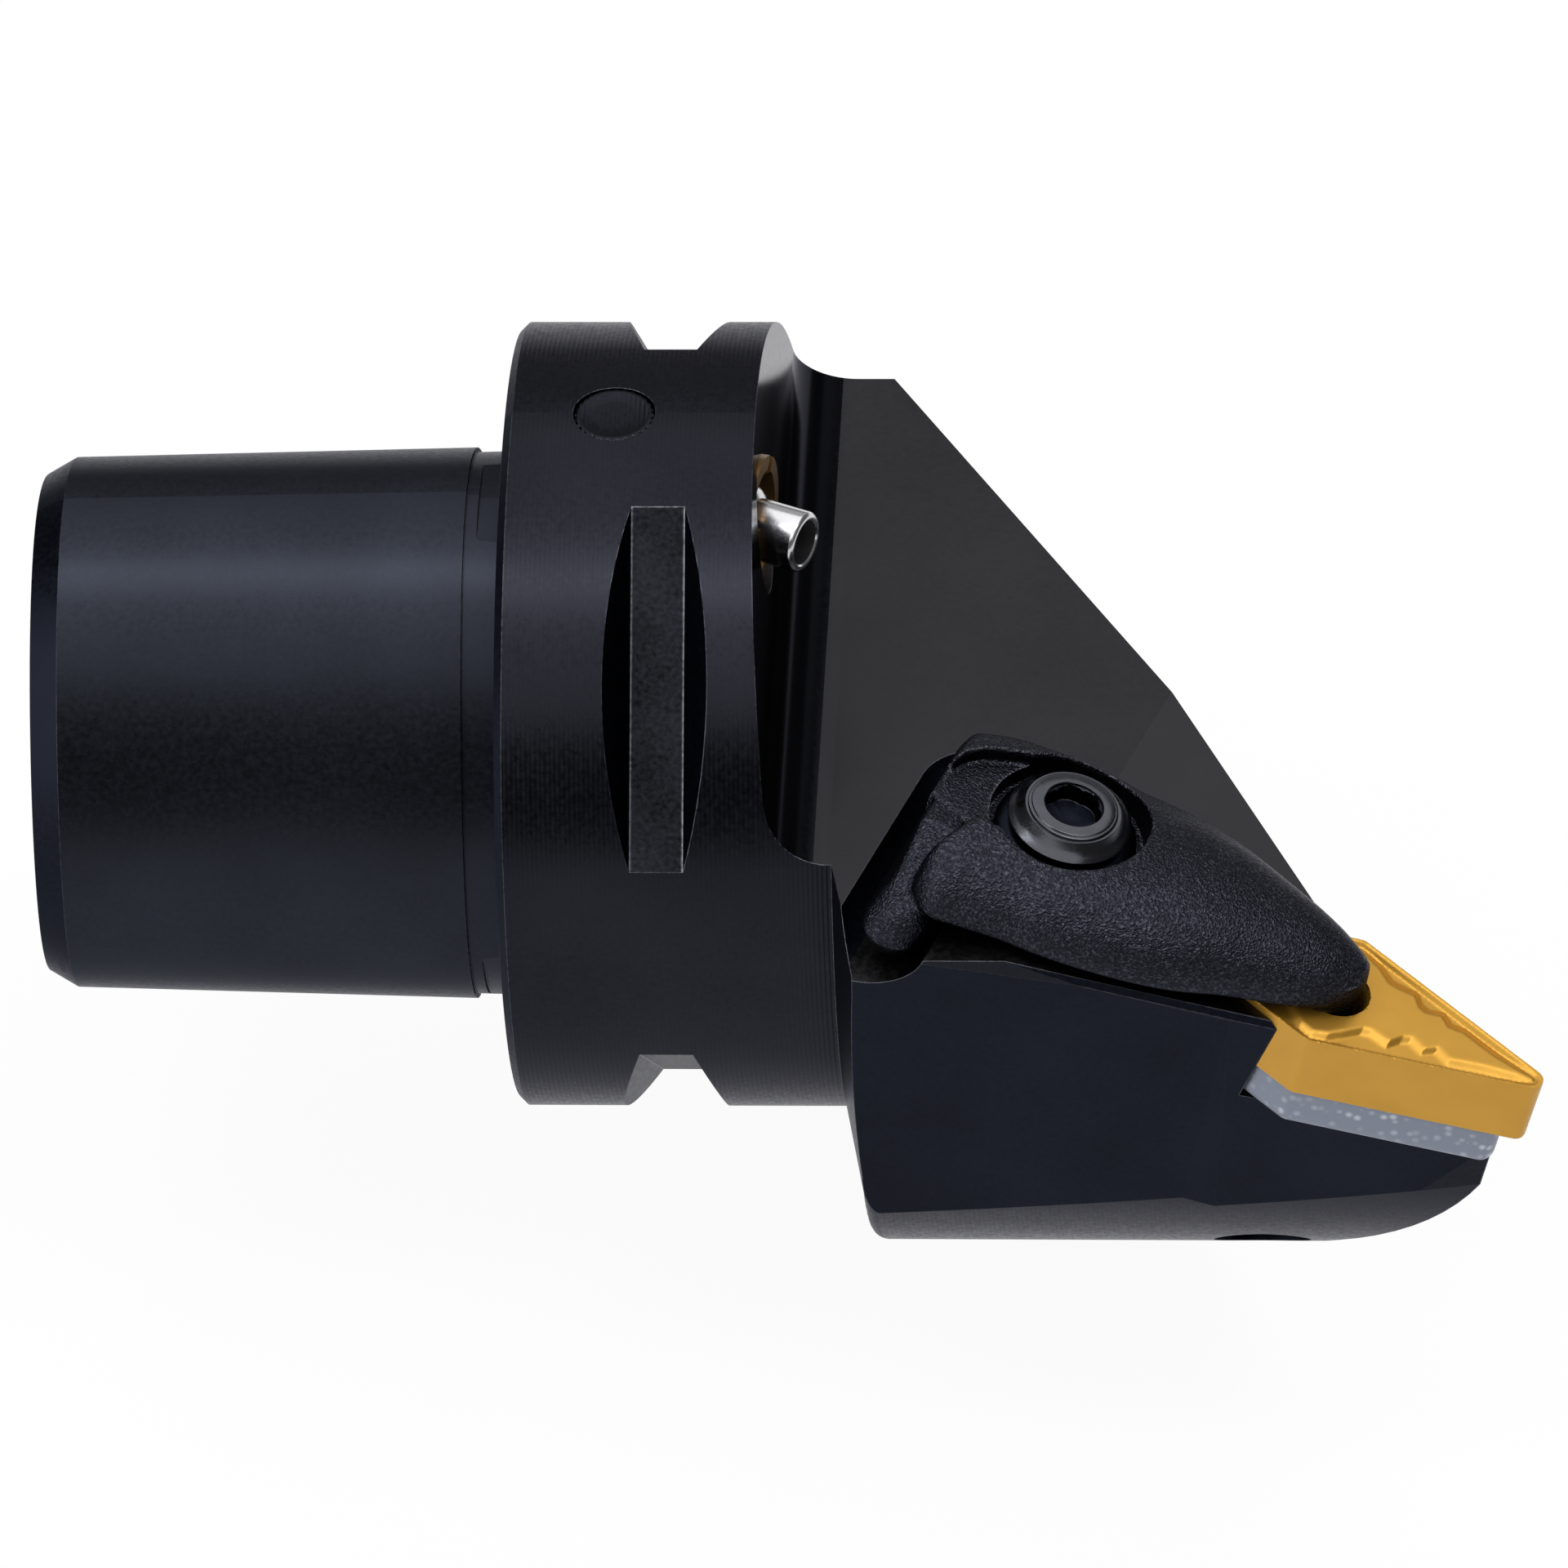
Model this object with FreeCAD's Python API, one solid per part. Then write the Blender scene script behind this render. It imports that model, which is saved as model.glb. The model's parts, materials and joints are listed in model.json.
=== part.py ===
"""Size-50 polygon-shank turning tool holder with a top-clamped 35 degree insert.

Millimetres. The origin is the centre of the flange's contact face, on the tool axis.
+X runs along the tool axis towards the cutting tip, +Z is the rake side and the tip
lies on the -Y side. The insert, its shim, the clamp and the clamp screw are built in
the pocket frame: s runs along the insert's long diagonal towards the tip, t across it
and n along the rake normal, from the centre of the insert's hole on its upper face.
"""

import FreeCAD, Part
import os
from math import acos, cos, degrees, pi, radians, sin, sqrt, tan

V = FreeCAD.Vector

# Polygon shank
SHANK_LENGTH = 30.0
SHANK_MEAN_D = 35.0
SHANK_TAPER = 1.0 / 20.0
SHANK_LOBE = 1.12
SHANK_POINTS = 36
SHANK_CHAMFER_LENGTH = 1.8
SHANK_CHAMFER_DEPTH = 1.0
NECK_LENGTH = 2.7
NECK_STEP = 0.3
NECK_GROOVE_WIDTH = 1.9
NECK_GROOVE_R = 18.0

# Clamping bore in the shank
BORE_R = 10.5
BORE_MOUTH_CHAMFER = 1.2
BORE_DEPTH = 17.0
SEGMENT_GROOVE_R = 12.2
SEGMENT_GROOVE_START = 7.5
SEGMENT_GROOVE_WIDTH = 4.5
SEGMENT_GROOVE_FLANK = 1.4
CENTRE_THREAD_R = 7.19
CENTRE_THREAD_LENGTH = 16.0
COOLANT_BORE_R = 3.0
COOLANT_BORE_END_X = 9.5

# Flange
FLANGE_R = 25.0
FLANGE_LENGTH = 20.9
FLANGE_REAR_CHAMFER = 0.5
FACE_RELIEF_R = 19.2
FACE_RELIEF_DEPTH = 0.4
GRIP_GROOVE_X = 10.0
GRIP_GROOVE_FLOOR_WIDTH = 3.34
GRIP_GROOVE_FLOOR_R = 22.25
GRIP_GROOVE_FLANK = 30.0
GRIP_GROOVE_POLAR = (45.0, 135.0, 225.0, 315.0)

# Chip scoop and top plane
TOP_Z = 8.2
SCOOP_WALL_X = 15.75
SCOOP_WALL_LEAN = 4.2
SCOOP_FILLET_R = 4.0
SCOOP_CLEARANCE = 60.0

# Head
HEAD_R = 33.45
HEAD_CONE_X = 1.5
HEAD_CONE_R = 32.25
HEAD_CORNER_R = 1.2
HEAD_FLAT_POLAR = 297.0
HEAD_BLEND_R = 14.0
BACK_FACE_ANGLE = 31.1
BACK_FACE_OFFSET = 31.95
FRONT_FACE_ANGLE = 52.0
FRONT_FACE_OFFSET = 12.8
SIDE_FACE_ANGLE = 3.0
SIDE_FACE_LEAN = 7.0
SIDE_FACE_Y = 30.1
SIDE_STATION_X = 40.0
FACET_TOP_X = 45.74
FACET_TOP_Z = 3.7
FACET_HEIGHT = 17.7
FACET_LINE_SLOPE = 0.19
FACET_DEPTH = 0.5
FACET_RAMP = 2.1
DECK_KINK_X = 41.7
DECK_KINK_Y = -7.2
DECK_KINK = V(DECK_KINK_X, DECK_KINK_Y, TOP_Z)
DECK_SLOPE_X = -0.281
DECK_SLOPE_Y = 0.109
DECK_EDGE_BREAK = 0.25

# Insert and shim
TIP_X = 65.0
TIP_Y = 35.0
NOSE_R = 0.8
INSERT_ANGLE = 35.0
INSCRIBED_R = 4.7625
INSERT_T = 4.76
INSERT_HOLE_R = 1.905
INSERT_HOLE_FLARE = 0.35
BISECTOR_ANGLE = 20.5
RAKE_SLOPE_X = -0.24
RAKE_SLOPE_Y = 0.07
RIM_WIDTH = 0.45
CHIP_GROOVE_WIDTH = 1.3
CHIP_GROOVE_DEPTH = 0.28
SHIM_T = 3.18
SHIM_INSET = 0.4
SHIM_NOSE_R = 1.0
SHIM_CORNER_R = 1.5
SHIM_EDGE_BREAK = 0.3
SHIM_REAR_CHAMFER = 1.2
RELIEF_R = 1.3

# Shim screw
SHIM_SCREW_R = 1.95
SHIM_SCREW_LENGTH = 6.8
SHIM_SCREW_HEAD_R = 2.9
SHIM_SCREW_HEAD_SINK = 0.35
SHIM_SCREW_SOCKET_R = 1.15
SHIM_SCREW_LOBE = 0.25
SHIM_SCREW_SOCKET_DEPTH = 1.2
SHIM_THREAD_LENGTH = 5.0
SCREW_FIT = 0.02

# Blind hole in the underside of the head
UNDERSIDE_HOLE_X = 47.3
UNDERSIDE_HOLE_POLAR = 222.8
UNDERSIDE_HOLE_R = 3.1
UNDERSIDE_HOLE_DEPTH = 6.0

# Clamp
CLAMP_AXIS_S = -19.15
CLAMP_BASE = 0.6
CLAMP_STATIONS = (
    (-27.4, -5.6, 2.4, 4.2),
    (-26.6, -7.2, 4.3, 4.7),
    (-24.5, -8.6, 5.7, 4.9),
    (-21.0, -9.2, 6.4, 5.1),
    (-17.0, -9.1, 6.8, 5.2),
    (-13.0, -8.3, 6.7, 5.1),
    (-9.0, -7.0, 5.9, 4.9),
    (-5.5, -5.3, 4.7, 4.5),
    (-2.5, -4.1, 3.6, 4.0),
    (-0.5, -3.1, 2.7, 3.4),
    (0.9, -1.7, 1.8, 2.7),
    (1.5, -0.6, 1.0, 2.0),
)
CLAMP_FULLNESS = 2.3
CLAMP_SIDES = 12
CLAMP_SEAT_Z = 2.4
CLAMP_SEAT_R = 4.85
CLAMP_BORE_R = 2.8
CLAMP_PAD_R = 2.4
CLAMP_PAD_S = -0.9
HOOK_R = 1.45
HOOK_BACK = 0.1
HOOK_DEPTH = 1.5
HEEL_R = 2.1
HEEL_END_R = 1.2
HEEL_S = -26.0
HEEL_GAP = 0.32
HEEL_NEAR = 10.8
HEEL_FAR = 6.3
PANEL_Z = 3.7
PANEL_CORNERS = ((-19.15, -2.8), (-19.15, 3.6), (-22.4, 3.3), (-25.6, 2.0), (-27.0, 0.2),
                 (-29.0, -0.6), (-29.0, -5.0), (-26.8, -4.6), (-24.6, -2.8))
PANEL_CORNER_R = (0, 0, 0.8, 0.8, 0.8, 0, 0, 0.8, 0.8)
CLAMP_TOP = 6.0

# Heel channel in the body
CHANNEL_R = 3.65
CHANNEL_BACK = 26.1
CHANNEL_AXIS_Z = 9.7
CHANNEL_END = 4.7

# Clamp screw, washer and spring
THREAD_R = 2.5
THREAD_CLEARANCE = 0.05
CLAMP_SCREW_LENGTH = 18.0
CLAMP_THREAD_DEPTH = 20.0
WASHER_R = 4.5
WASHER_T = 0.9
WASHER_BORE_R = 2.6
HEAD_SEAT_R = 3.2
HEAD_SKIRT_R = 3.93
HEAD_SKIRT_LOW = 0.7
HEAD_SKIRT_T = 0.2
HEAD_CONE_TOP_R = 2.95
HEAD_STEP_R = 2.575
HEAD_HEIGHT = 2.05
HEAD_STEP_T = 0.3
SOCKET_R = 1.8
SOCKET_STEPS = 24
SOCKET_LOBE = 0.3
SOCKET_DEPTH = 1.5
SPRING_WIRE_R = 0.4
SPRING_MEAN_R = 3.55
SPRING_TURNS = 3.5
SPRING_STEPS = 12
SPRING_WIRE_SIDES = 7
SPRING_POCKET_R = 4.25
SPRING_POCKET_DEPTH = 6.0
SPRING_END_GAP = 0.05

# Coolant nozzle: the ball is drawn as the photo shows it, swung off its seat's axis
BALL_BEHIND_FRONT = 7.4
BALL_BELOW_RIM = 6.6
BALL_SIDE = -2.4
BALL_CENTRE = V(FLANGE_LENGTH - BALL_BEHIND_FRONT, BALL_SIDE, FLANGE_R - BALL_BELOW_RIM)
BALL_STRIPS = 10
SEAT_DIRECTION = V(cos(radians(11.0)), -sin(radians(11.0)), 0)
NOZZLE_DIRECTION = V(0.9, -0.434, 0.03)
BALL_R = 3.1
BALL_CLEARANCE = 0.05
NOZZLE_TUBE_R = 1.95
NOZZLE_BORE_R = 1.45
NOZZLE_REACH = 6.0
NOZZLE_TIP_CHAMFER = 0.2
COLLAR_R = 4.3
COLLAR_CLEARANCE = 0.05
COLLAR_FRONT = 2.6
COLLAR_LENGTH = 2.2
COLLAR_LIP_R = 2.77
COLLAR_MOUTH_R = 3.35
COLLAR_SLOT_WIDTH = 1.0
COLLAR_SLOT_DEPTH = 0.7
COLLAR_SLOTS = 4
SEAL_RING_R = 2.1
SEAL_WIRE_R = 0.6
SEAL_SIDES = 8
SEAL_GAP = 0.05
SEAL_POCKET_R = 2.78
FEED_BORE_R = 1.5

# Channel plug in the flange
PLUG_BEHIND_FRONT = 14.0
PLUG_X = FLANGE_LENGTH - PLUG_BEHIND_FRONT
PLUG_R = 2.42
PLUG_LENGTH = 5.0
PLUG_SINK = 0.15
PLUG_TEETH = 28
PLUG_TOOTH = 0.12
PLUG_FIT = 0.04
PLUG_COLLAR_LENGTH = 0.8
CROSS_BORE_R = 1.8

# Cutters: how far they run past what they cut
OVERRUN = 6.0
BIG = 90.0


def unit(vector):
    """Return a copy of a vector with length one."""
    return vector / vector.Length


def polar(radius, angle_deg):
    """Return the (Y, Z) position at a polar angle about the tool axis."""
    return radius * cos(radians(angle_deg)), radius * sin(radians(angle_deg))


class Frame:
    """A right-handed local frame with an origin and three unit axes."""

    def __init__(self, origin, axis_a, axis_c):
        self.origin = origin
        self.a = unit(axis_a)
        self.c = unit(axis_c)
        self.b = unit(self.c.cross(self.a))

    def at(self, a, b, c=0.0):
        """Return the global point of local coordinates."""
        return self.origin + self.a * a + self.b * b + self.c * c

    def matrix(self):
        """Return the placement matrix that maps local axes to global ones."""
        a, b, c, o = self.a, self.b, self.c, self.origin
        return FreeCAD.Matrix(
            a.x, b.x, c.x, o.x,
            a.y, b.y, c.y, o.y,
            a.z, b.z, c.z, o.z,
            0, 0, 0, 1)

    def place(self, shape):
        """Return a shape built in local coordinates, moved to this frame."""
        moved = shape.copy()
        moved.Placement = FreeCAD.Placement(self.matrix()).multiply(shape.Placement)
        return moved


def pocket_frame():
    """Return the insert's frame, from the nose centre, the bisector and the rake plane."""
    normal = unit(V(-RAKE_SLOPE_X, -RAKE_SLOPE_Y, 1.0))
    plan = V(cos(radians(BISECTOR_ANGLE)), -sin(radians(BISECTOR_ANGLE)), 0)
    along = unit(V(plan.x, plan.y, RAKE_SLOPE_X * plan.x + RAKE_SLOPE_Y * plan.y))
    nose = V(TIP_X - NOSE_R, -TIP_Y + NOSE_R, 0)
    nose.z = RAKE_SLOPE_X * (nose.x - TIP_X) + RAKE_SLOPE_Y * (nose.y + TIP_Y)
    hole = nose - along * (insert_half_diagonal() - NOSE_R / sin(radians(INSERT_ANGLE / 2)))
    return Frame(hole, along, normal)


def insert_side():
    """Return the side length of the sharp rhombus round the inscribed circle."""
    return 2 * INSCRIBED_R / sin(radians(INSERT_ANGLE))


def insert_half_diagonal():
    """Return half of the sharp rhombus's long diagonal."""
    return insert_side() * cos(radians(INSERT_ANGLE / 2))


def insert_half_width():
    """Return half of the sharp rhombus's short diagonal."""
    return insert_side() * sin(radians(INSERT_ANGLE / 2))


POCKET = pocket_frame()


def face_of(points):
    """Return a flat face from a closed list of corner points."""
    return Part.Face(Part.makePolygon(points + [points[0]]))


def prism(points, direction):
    """Return the solid swept by a flat polygon along a vector."""
    return face_of(points).extrude(direction)


def turned(profile, origin=V(0, 0, 0), axis=V(1, 0, 0)):
    """Return a solid of revolution from (along, radius) corner pairs."""
    frame = Frame(origin, axis, side_of(axis))
    points = [frame.at(along, 0, radius) for along, radius in profile]
    return face_of(points).revolve(origin, frame.a, 360)


def side_of(axis):
    """Return a unit vector at right angles to an axis."""
    base = V(0, 0, 1) if abs(unit(axis).z) < 0.9 else V(1, 0, 0)
    return unit(base - unit(axis) * base.dot(unit(axis)))


def rod(origin, axis, start, end, radius):
    """Return a cylinder along an axis between two distances from an origin."""
    axis = unit(axis)
    return Part.makeCylinder(radius, end - start, origin + axis * start, axis)


def ball(radius, centre, axis):
    """Return a ball turned from straight strips, which keeps its mesh light."""
    angles = [pi * strip / BALL_STRIPS for strip in range(BALL_STRIPS + 1)]
    return turned([(radius * cos(angle), radius * sin(angle)) for angle in angles], centre, axis)


def beyond(point, normal):
    """Return a block that fills the space beyond a plane."""
    frame = Frame(point, side_of(normal), normal)
    return frame.place(Part.makeBox(2 * BIG, 2 * BIG, BIG, V(-BIG, -BIG, 0)))


def rhombus(inset=0.0, nose_r=NOSE_R, corner_r=0.0):
    """Return the insert's outline face, with round acute corners and sharp or round obtuse ones."""
    half_long = insert_half_diagonal() - inset / sin(radians(INSERT_ANGLE / 2))
    half_short = insert_half_width() - inset / cos(radians(INSERT_ANGLE / 2))
    corners = [V(half_long, 0, 0), V(0, half_short, 0), V(-half_long, 0, 0), V(0, -half_short, 0)]
    return Part.Face(rounded_outline(corners, [nose_r, corner_r, nose_r, corner_r]))


def rounded_outline(corners, radii):
    """Return a closed wire through corners, each rounded by its own radius."""
    count = len(corners)
    edges = []
    entries = []
    for index, corner in enumerate(corners):
        to_last = unit(corners[index - 1] - corner)
        to_next = unit(corners[(index + 1) % count] - corner)
        radius = radii[index]
        half = acos(to_last.dot(to_next)) / 2
        reach = radius / tan(half)
        middle = unit(to_last + to_next) * (radius / sin(half) - radius)
        entries.append((corner + to_last * reach, corner + middle, corner + to_next * reach, radius))
    for index, (start, middle, end, radius) in enumerate(entries):
        if radius > 0:
            edges.append(Part.Arc(start, middle, end).toShape())
        following = entries[(index + 1) % count][0]
        edges.append(Part.LineSegment(end, following).toShape())
    return Part.Wire(edges)


def shank_outline(x, shrink=0.0):
    """Return the three-lobed closed curve of the shank at a station on the axis."""
    mean_r = (SHANK_MEAN_D + x * SHANK_TAPER) / 2 - shrink
    points = []
    for step in range(SHANK_POINTS):
        g = 2 * pi * step / SHANK_POINTS
        across = mean_r * cos(g) + SHANK_LOBE * cos(2 * g)
        along = mean_r * sin(g) - SHANK_LOBE * sin(2 * g)
        points.append(V(x, -along, across))
    curve = Part.BSplineCurve()
    curve.interpolate(Points=points, PeriodicFlag=True)
    return Part.Wire([curve.toShape()])


def shank():
    """Return the tapered polygon with its rear chamfer, stepped neck and turned groove."""
    rear = shank_outline(-SHANK_LENGTH, SHANK_CHAMFER_DEPTH)
    chamfer_end = shank_outline(-SHANK_LENGTH + SHANK_CHAMFER_LENGTH)
    front = shank_outline(-NECK_LENGTH)
    solid = Part.makeLoft([rear, chamfer_end], True, True)
    solid = solid.fuse(Part.makeLoft([chamfer_end, front], True, True))
    neck_rear = shank_outline(-NECK_LENGTH, NECK_STEP)
    neck_front = shank_outline(FACE_RELIEF_DEPTH, NECK_STEP)
    neck = Part.makeLoft([neck_rear, neck_front], True, True)
    ring = turned([(-NECK_GROOVE_WIDTH, NECK_GROOVE_R), (FACE_RELIEF_DEPTH, NECK_GROOVE_R),
                   (FACE_RELIEF_DEPTH, FLANGE_R), (-NECK_GROOVE_WIDTH, FLANGE_R)])
    return solid.fuse(neck.cut(ring))


def clamping_bore():
    """Return the cutter for the bore, segment groove, centre thread and coolant drilling."""
    rear = -SHANK_LENGTH
    groove = rear + SEGMENT_GROOVE_START
    groove_end = groove + SEGMENT_GROOVE_WIDTH
    thread = rear + BORE_DEPTH
    thread_end = thread + CENTRE_THREAD_LENGTH
    profile = [
        (rear - 1, 0), (rear - 1, BORE_R + BORE_MOUTH_CHAMFER + 1),
        (rear + BORE_MOUTH_CHAMFER, BORE_R), (groove, BORE_R),
        (groove + SEGMENT_GROOVE_FLANK, SEGMENT_GROOVE_R),
        (groove_end - SEGMENT_GROOVE_FLANK, SEGMENT_GROOVE_R),
        (groove_end, BORE_R), (thread, BORE_R), (thread, CENTRE_THREAD_R),
        (thread_end, CENTRE_THREAD_R),
        (thread_end + CENTRE_THREAD_R - COOLANT_BORE_R, COOLANT_BORE_R),
        (COOLANT_BORE_END_X, COOLANT_BORE_R), (COOLANT_BORE_END_X, 0)]
    return turned(profile)


def flange():
    """Return the round flange with its broken rear edge and four gripper grooves."""
    edge = FLANGE_REAR_CHAMFER
    solid = turned([(FACE_RELIEF_DEPTH, 0), (FACE_RELIEF_DEPTH, FACE_RELIEF_R), (0, FACE_RELIEF_R),
                    (0, FLANGE_R - edge), (edge, FLANGE_R), (FLANGE_LENGTH, FLANGE_R), (FLANGE_LENGTH, 0)])
    for angle in GRIP_GROOVE_POLAR:
        solid = solid.cut(grip_groove(angle))
    return solid


def grip_groove(angle):
    """Return the cutter of one straight trapezoid groove across the flange's rim."""
    outward = V(0, *polar(1.0, angle))
    tangent = V(0, *polar(1.0, angle + 90))
    half_floor = GRIP_GROOVE_FLOOR_WIDTH / 2
    rise = FLANGE_R - GRIP_GROOVE_FLOOR_R + 1
    half_top = half_floor + rise * tan(radians(GRIP_GROOVE_FLANK))
    base = V(GRIP_GROOVE_X, 0, 0) + outward * GRIP_GROOVE_FLOOR_R - tangent * FLANGE_R
    along = V(1, 0, 0)
    corners = [base - along * half_floor, base + along * half_floor,
               base + outward * rise + along * half_top, base + outward * rise - along * half_top]
    return prism(corners, tangent * 2 * FLANGE_R)


def scoop():
    """Return the cutter above the top plane, with its leaning wall and round fillet."""
    lean = radians(SCOOP_WALL_LEAN)
    foot_x = SCOOP_WALL_X + (FLANGE_R - TOP_Z) * tan(lean)
    foot = V(foot_x, 0, TOP_Z)
    up = V(-sin(lean), 0, cos(lean))
    corners = [foot, V(foot_x + SCOOP_CLEARANCE, 0, TOP_Z),
               V(foot_x + SCOOP_CLEARANCE, 0, TOP_Z + SCOOP_CLEARANCE), foot + up * SCOOP_CLEARANCE]
    wire = rounded_outline(corners, [SCOOP_FILLET_R, 0, 0, 0])
    wire.translate(V(0, -SCOOP_CLEARANCE, 0))
    return Part.Face(wire).extrude(V(0, 2 * SCOOP_CLEARANCE, 0))


def head_blank():
    """Return the turned head: a core under the flange's radius and the wide lobe."""
    end_x = TIP_X + OVERRUN
    core = rod(V(0, 0, 0), V(1, 0, 0), FLANGE_LENGTH, end_x, FLANGE_R)
    cone_end = V(FLANGE_LENGTH + HEAD_CONE_X, 0, HEAD_CONE_R)
    shoulder = V(FLANGE_LENGTH + HEAD_CONE_X + HEAD_CORNER_R, 0, HEAD_R)
    bend = V(cone_end.x + 0.25 * HEAD_CORNER_R, 0, HEAD_R - 0.3 * HEAD_CORNER_R)
    start_x = FLANGE_LENGTH
    edges = [
        Part.LineSegment(V(start_x, 0, 0), V(start_x, 0, FLANGE_R)),
        Part.LineSegment(V(start_x, 0, FLANGE_R), cone_end),
        Part.Arc(cone_end, bend, shoulder),
        Part.LineSegment(shoulder, V(end_x, 0, HEAD_R)),
        Part.LineSegment(V(end_x, 0, HEAD_R), V(end_x, 0, 0)),
        Part.LineSegment(V(end_x, 0, 0), V(start_x, 0, 0))]
    wire = Part.Wire([edge.toShape() for edge in edges])
    lobe = Part.Face(wire).revolve(V(0, 0, 0), V(1, 0, 0), 360)
    return core.fuse(lobe.common(lobe_sector()))


def lobe_sector():
    """Return the prism that keeps the wide lobe on the tip's side of the head.

    A flat leaves the flange's radius at a tangent and a blend joins it to the lobe.
    """
    centre_r = HEAD_R - HEAD_BLEND_R
    blend_polar = HEAD_FLAT_POLAR - degrees(acos((FLANGE_R - HEAD_BLEND_R) / centre_r))
    start = V(FLANGE_LENGTH - 1, 0, 0)
    blend_centre = start + V(0, *polar(centre_r, blend_polar))
    flat_start = start + V(0, *polar(FLANGE_R, HEAD_FLAT_POLAR))
    flat_end = blend_centre + V(0, *polar(HEAD_BLEND_R, HEAD_FLAT_POLAR))
    middle = blend_centre + V(0, *polar(HEAD_BLEND_R, (HEAD_FLAT_POLAR + blend_polar) / 2))
    blend_end = start + V(0, *polar(HEAD_R, blend_polar))
    outside = [start + V(0, *polar(BIG, angle)) for angle in (blend_polar, 180.0, HEAD_FLAT_POLAR - 180)]
    edges = [Part.LineSegment(start, flat_start), Part.LineSegment(flat_start, flat_end),
             Part.Arc(flat_end, middle, blend_end)]
    corners = [blend_end] + outside + [start]
    edges += [Part.LineSegment(a, b) for a, b in zip(corners, corners[1:])]
    return Part.Face(Part.Wire([edge.toShape() for edge in edges])).extrude(V(TIP_X, 0, 0))


def side_normal():
    """Return the outward normal of the long side face."""
    slope = tan(radians(SIDE_FACE_ANGLE))
    lean = tan(radians(SIDE_FACE_LEAN))
    return unit(V(-slope, -1, -lean))


def deck_normal():
    """Return the upward normal of the sloping deck round the pocket."""
    return unit(V(-DECK_SLOPE_X, -DECK_SLOPE_Y, 1))


def side_facet():
    """Return the cutter of the side face's relief, which deepens downwards from the deck."""
    normal = side_normal()
    level = unit(normal.cross(V(0, 0, 1)))
    if level.x < 0:
        level = level * -1
    top = side_point(FACET_TOP_X, FACET_TOP_Z)
    low = side_point(FACET_TOP_X - FACET_LINE_SLOPE * FACET_HEIGHT, FACET_TOP_Z - FACET_HEIGHT)
    floor_low = low + level * FACET_RAMP - normal * FACET_DEPTH
    floor_normal = unit(level.cross(floor_low - top))
    if floor_normal.dot(normal) < 0:
        floor_normal = floor_normal * -1
    ramp_normal = unit((low - top).cross(floor_low - top))
    if ramp_normal.dot(level) < 0:
        ramp_normal = ramp_normal * -1
    return beyond(top, floor_normal).common(beyond(top, ramp_normal))


def side_point(x, z):
    """Return the point of the side face's plane at a given X and Z."""
    slope = tan(radians(SIDE_FACE_ANGLE))
    lean = tan(radians(SIDE_FACE_LEAN))
    return V(x, -SIDE_FACE_Y - slope * x - lean * z, z)


def plan_cutter():
    """Return the cutter of the upright back and front faces, which meet at a hollow corner."""
    front = V(cos(radians(FRONT_FACE_ANGLE)), sin(radians(FRONT_FACE_ANGLE)), 0)
    back = V(cos(radians(BACK_FACE_ANGLE)), sin(radians(BACK_FACE_ANGLE)), 0)
    spread = front.x * back.y - front.y * back.x
    corner = V((FRONT_FACE_OFFSET * back.y - BACK_FACE_OFFSET * front.y) / spread,
               (BACK_FACE_OFFSET * front.x - FRONT_FACE_OFFSET * back.x) / spread, -BIG)
    along_back = V(-back.y, back.x, 0) * BIG
    along_front = V(front.y, -front.x, 0) * BIG
    outside = V(2 * BIG, 0, 0)
    corners = [corner, corner + along_front, corner + along_front + outside,
               corner + along_back + outside, corner + along_back]
    return prism(corners, V(0, 0, 2 * BIG))


def deck_cutter():
    """Return the cutter above the deck, limited to the head in front of its own kink."""
    normal = deck_normal()
    frame = Frame(DECK_KINK, V(1, 0, DECK_SLOPE_X), normal)
    reach_back = DECK_KINK.x - FLANGE_LENGTH - OVERRUN
    block = Part.makeBox(reach_back + BIG, 2 * BIG, BIG / 2, V(-reach_back, -BIG, 0))
    return frame.place(block)


def deck_edge_cutter():
    """Return the cutter that breaks the edge between the deck and the side face."""
    outward = unit(side_normal() + deck_normal())
    run = side_normal().cross(deck_normal())
    x = SIDE_STATION_X
    lean = tan(radians(SIDE_FACE_LEAN))
    slope = tan(radians(SIDE_FACE_ANGLE))
    level_y = -SIDE_FACE_Y - slope * x - DECK_KINK.y
    level = DECK_KINK.z + DECK_SLOPE_X * (x - DECK_KINK.x) + DECK_SLOPE_Y * level_y
    z = level / (1 + DECK_SLOPE_Y * lean)
    corner = side_point(x, z) - outward * DECK_EDGE_BREAK
    frame = Frame(corner, run, outward)
    block = Part.makeBox(BIG, 2 * OVERRUN, OVERRUN, V(-BIG / 2, -OVERRUN, 0))
    return frame.place(block)


def pocket_cutter():
    """Return the cutter of the insert pocket, with its corner relief and floor."""
    apex = V(-insert_half_diagonal(), 0, 0)
    half = radians(INSERT_ANGLE / 2)
    reach = 2 * BIG
    near = apex + V(cos(half), -sin(half), 0) * reach
    far = apex + V(cos(half), sin(half), 0) * reach
    wedge = prism([apex, near, far], V(0, 0, INSERT_T + SHIM_T + 2 * OVERRUN))
    relief = Part.makeCylinder(RELIEF_R, INSERT_T + SHIM_T + 2 * OVERRUN, apex + V(RELIEF_R * 0.8, 0, 0))
    cutter = wedge.fuse(relief)
    cutter.translate(V(0, 0, -INSERT_T - SHIM_T))
    return POCKET.place(cutter)


def channel_axis_point():
    """Return the centre of the heel channel's round section, on the clamp's axis."""
    plan = V(cos(radians(BISECTOR_ANGLE)), -sin(radians(BISECTOR_ANGLE)), 0)
    return V(POCKET.origin.x, POCKET.origin.y, 0) - plan * CHANNEL_BACK + V(0, 0, CHANNEL_AXIS_Z)


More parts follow.
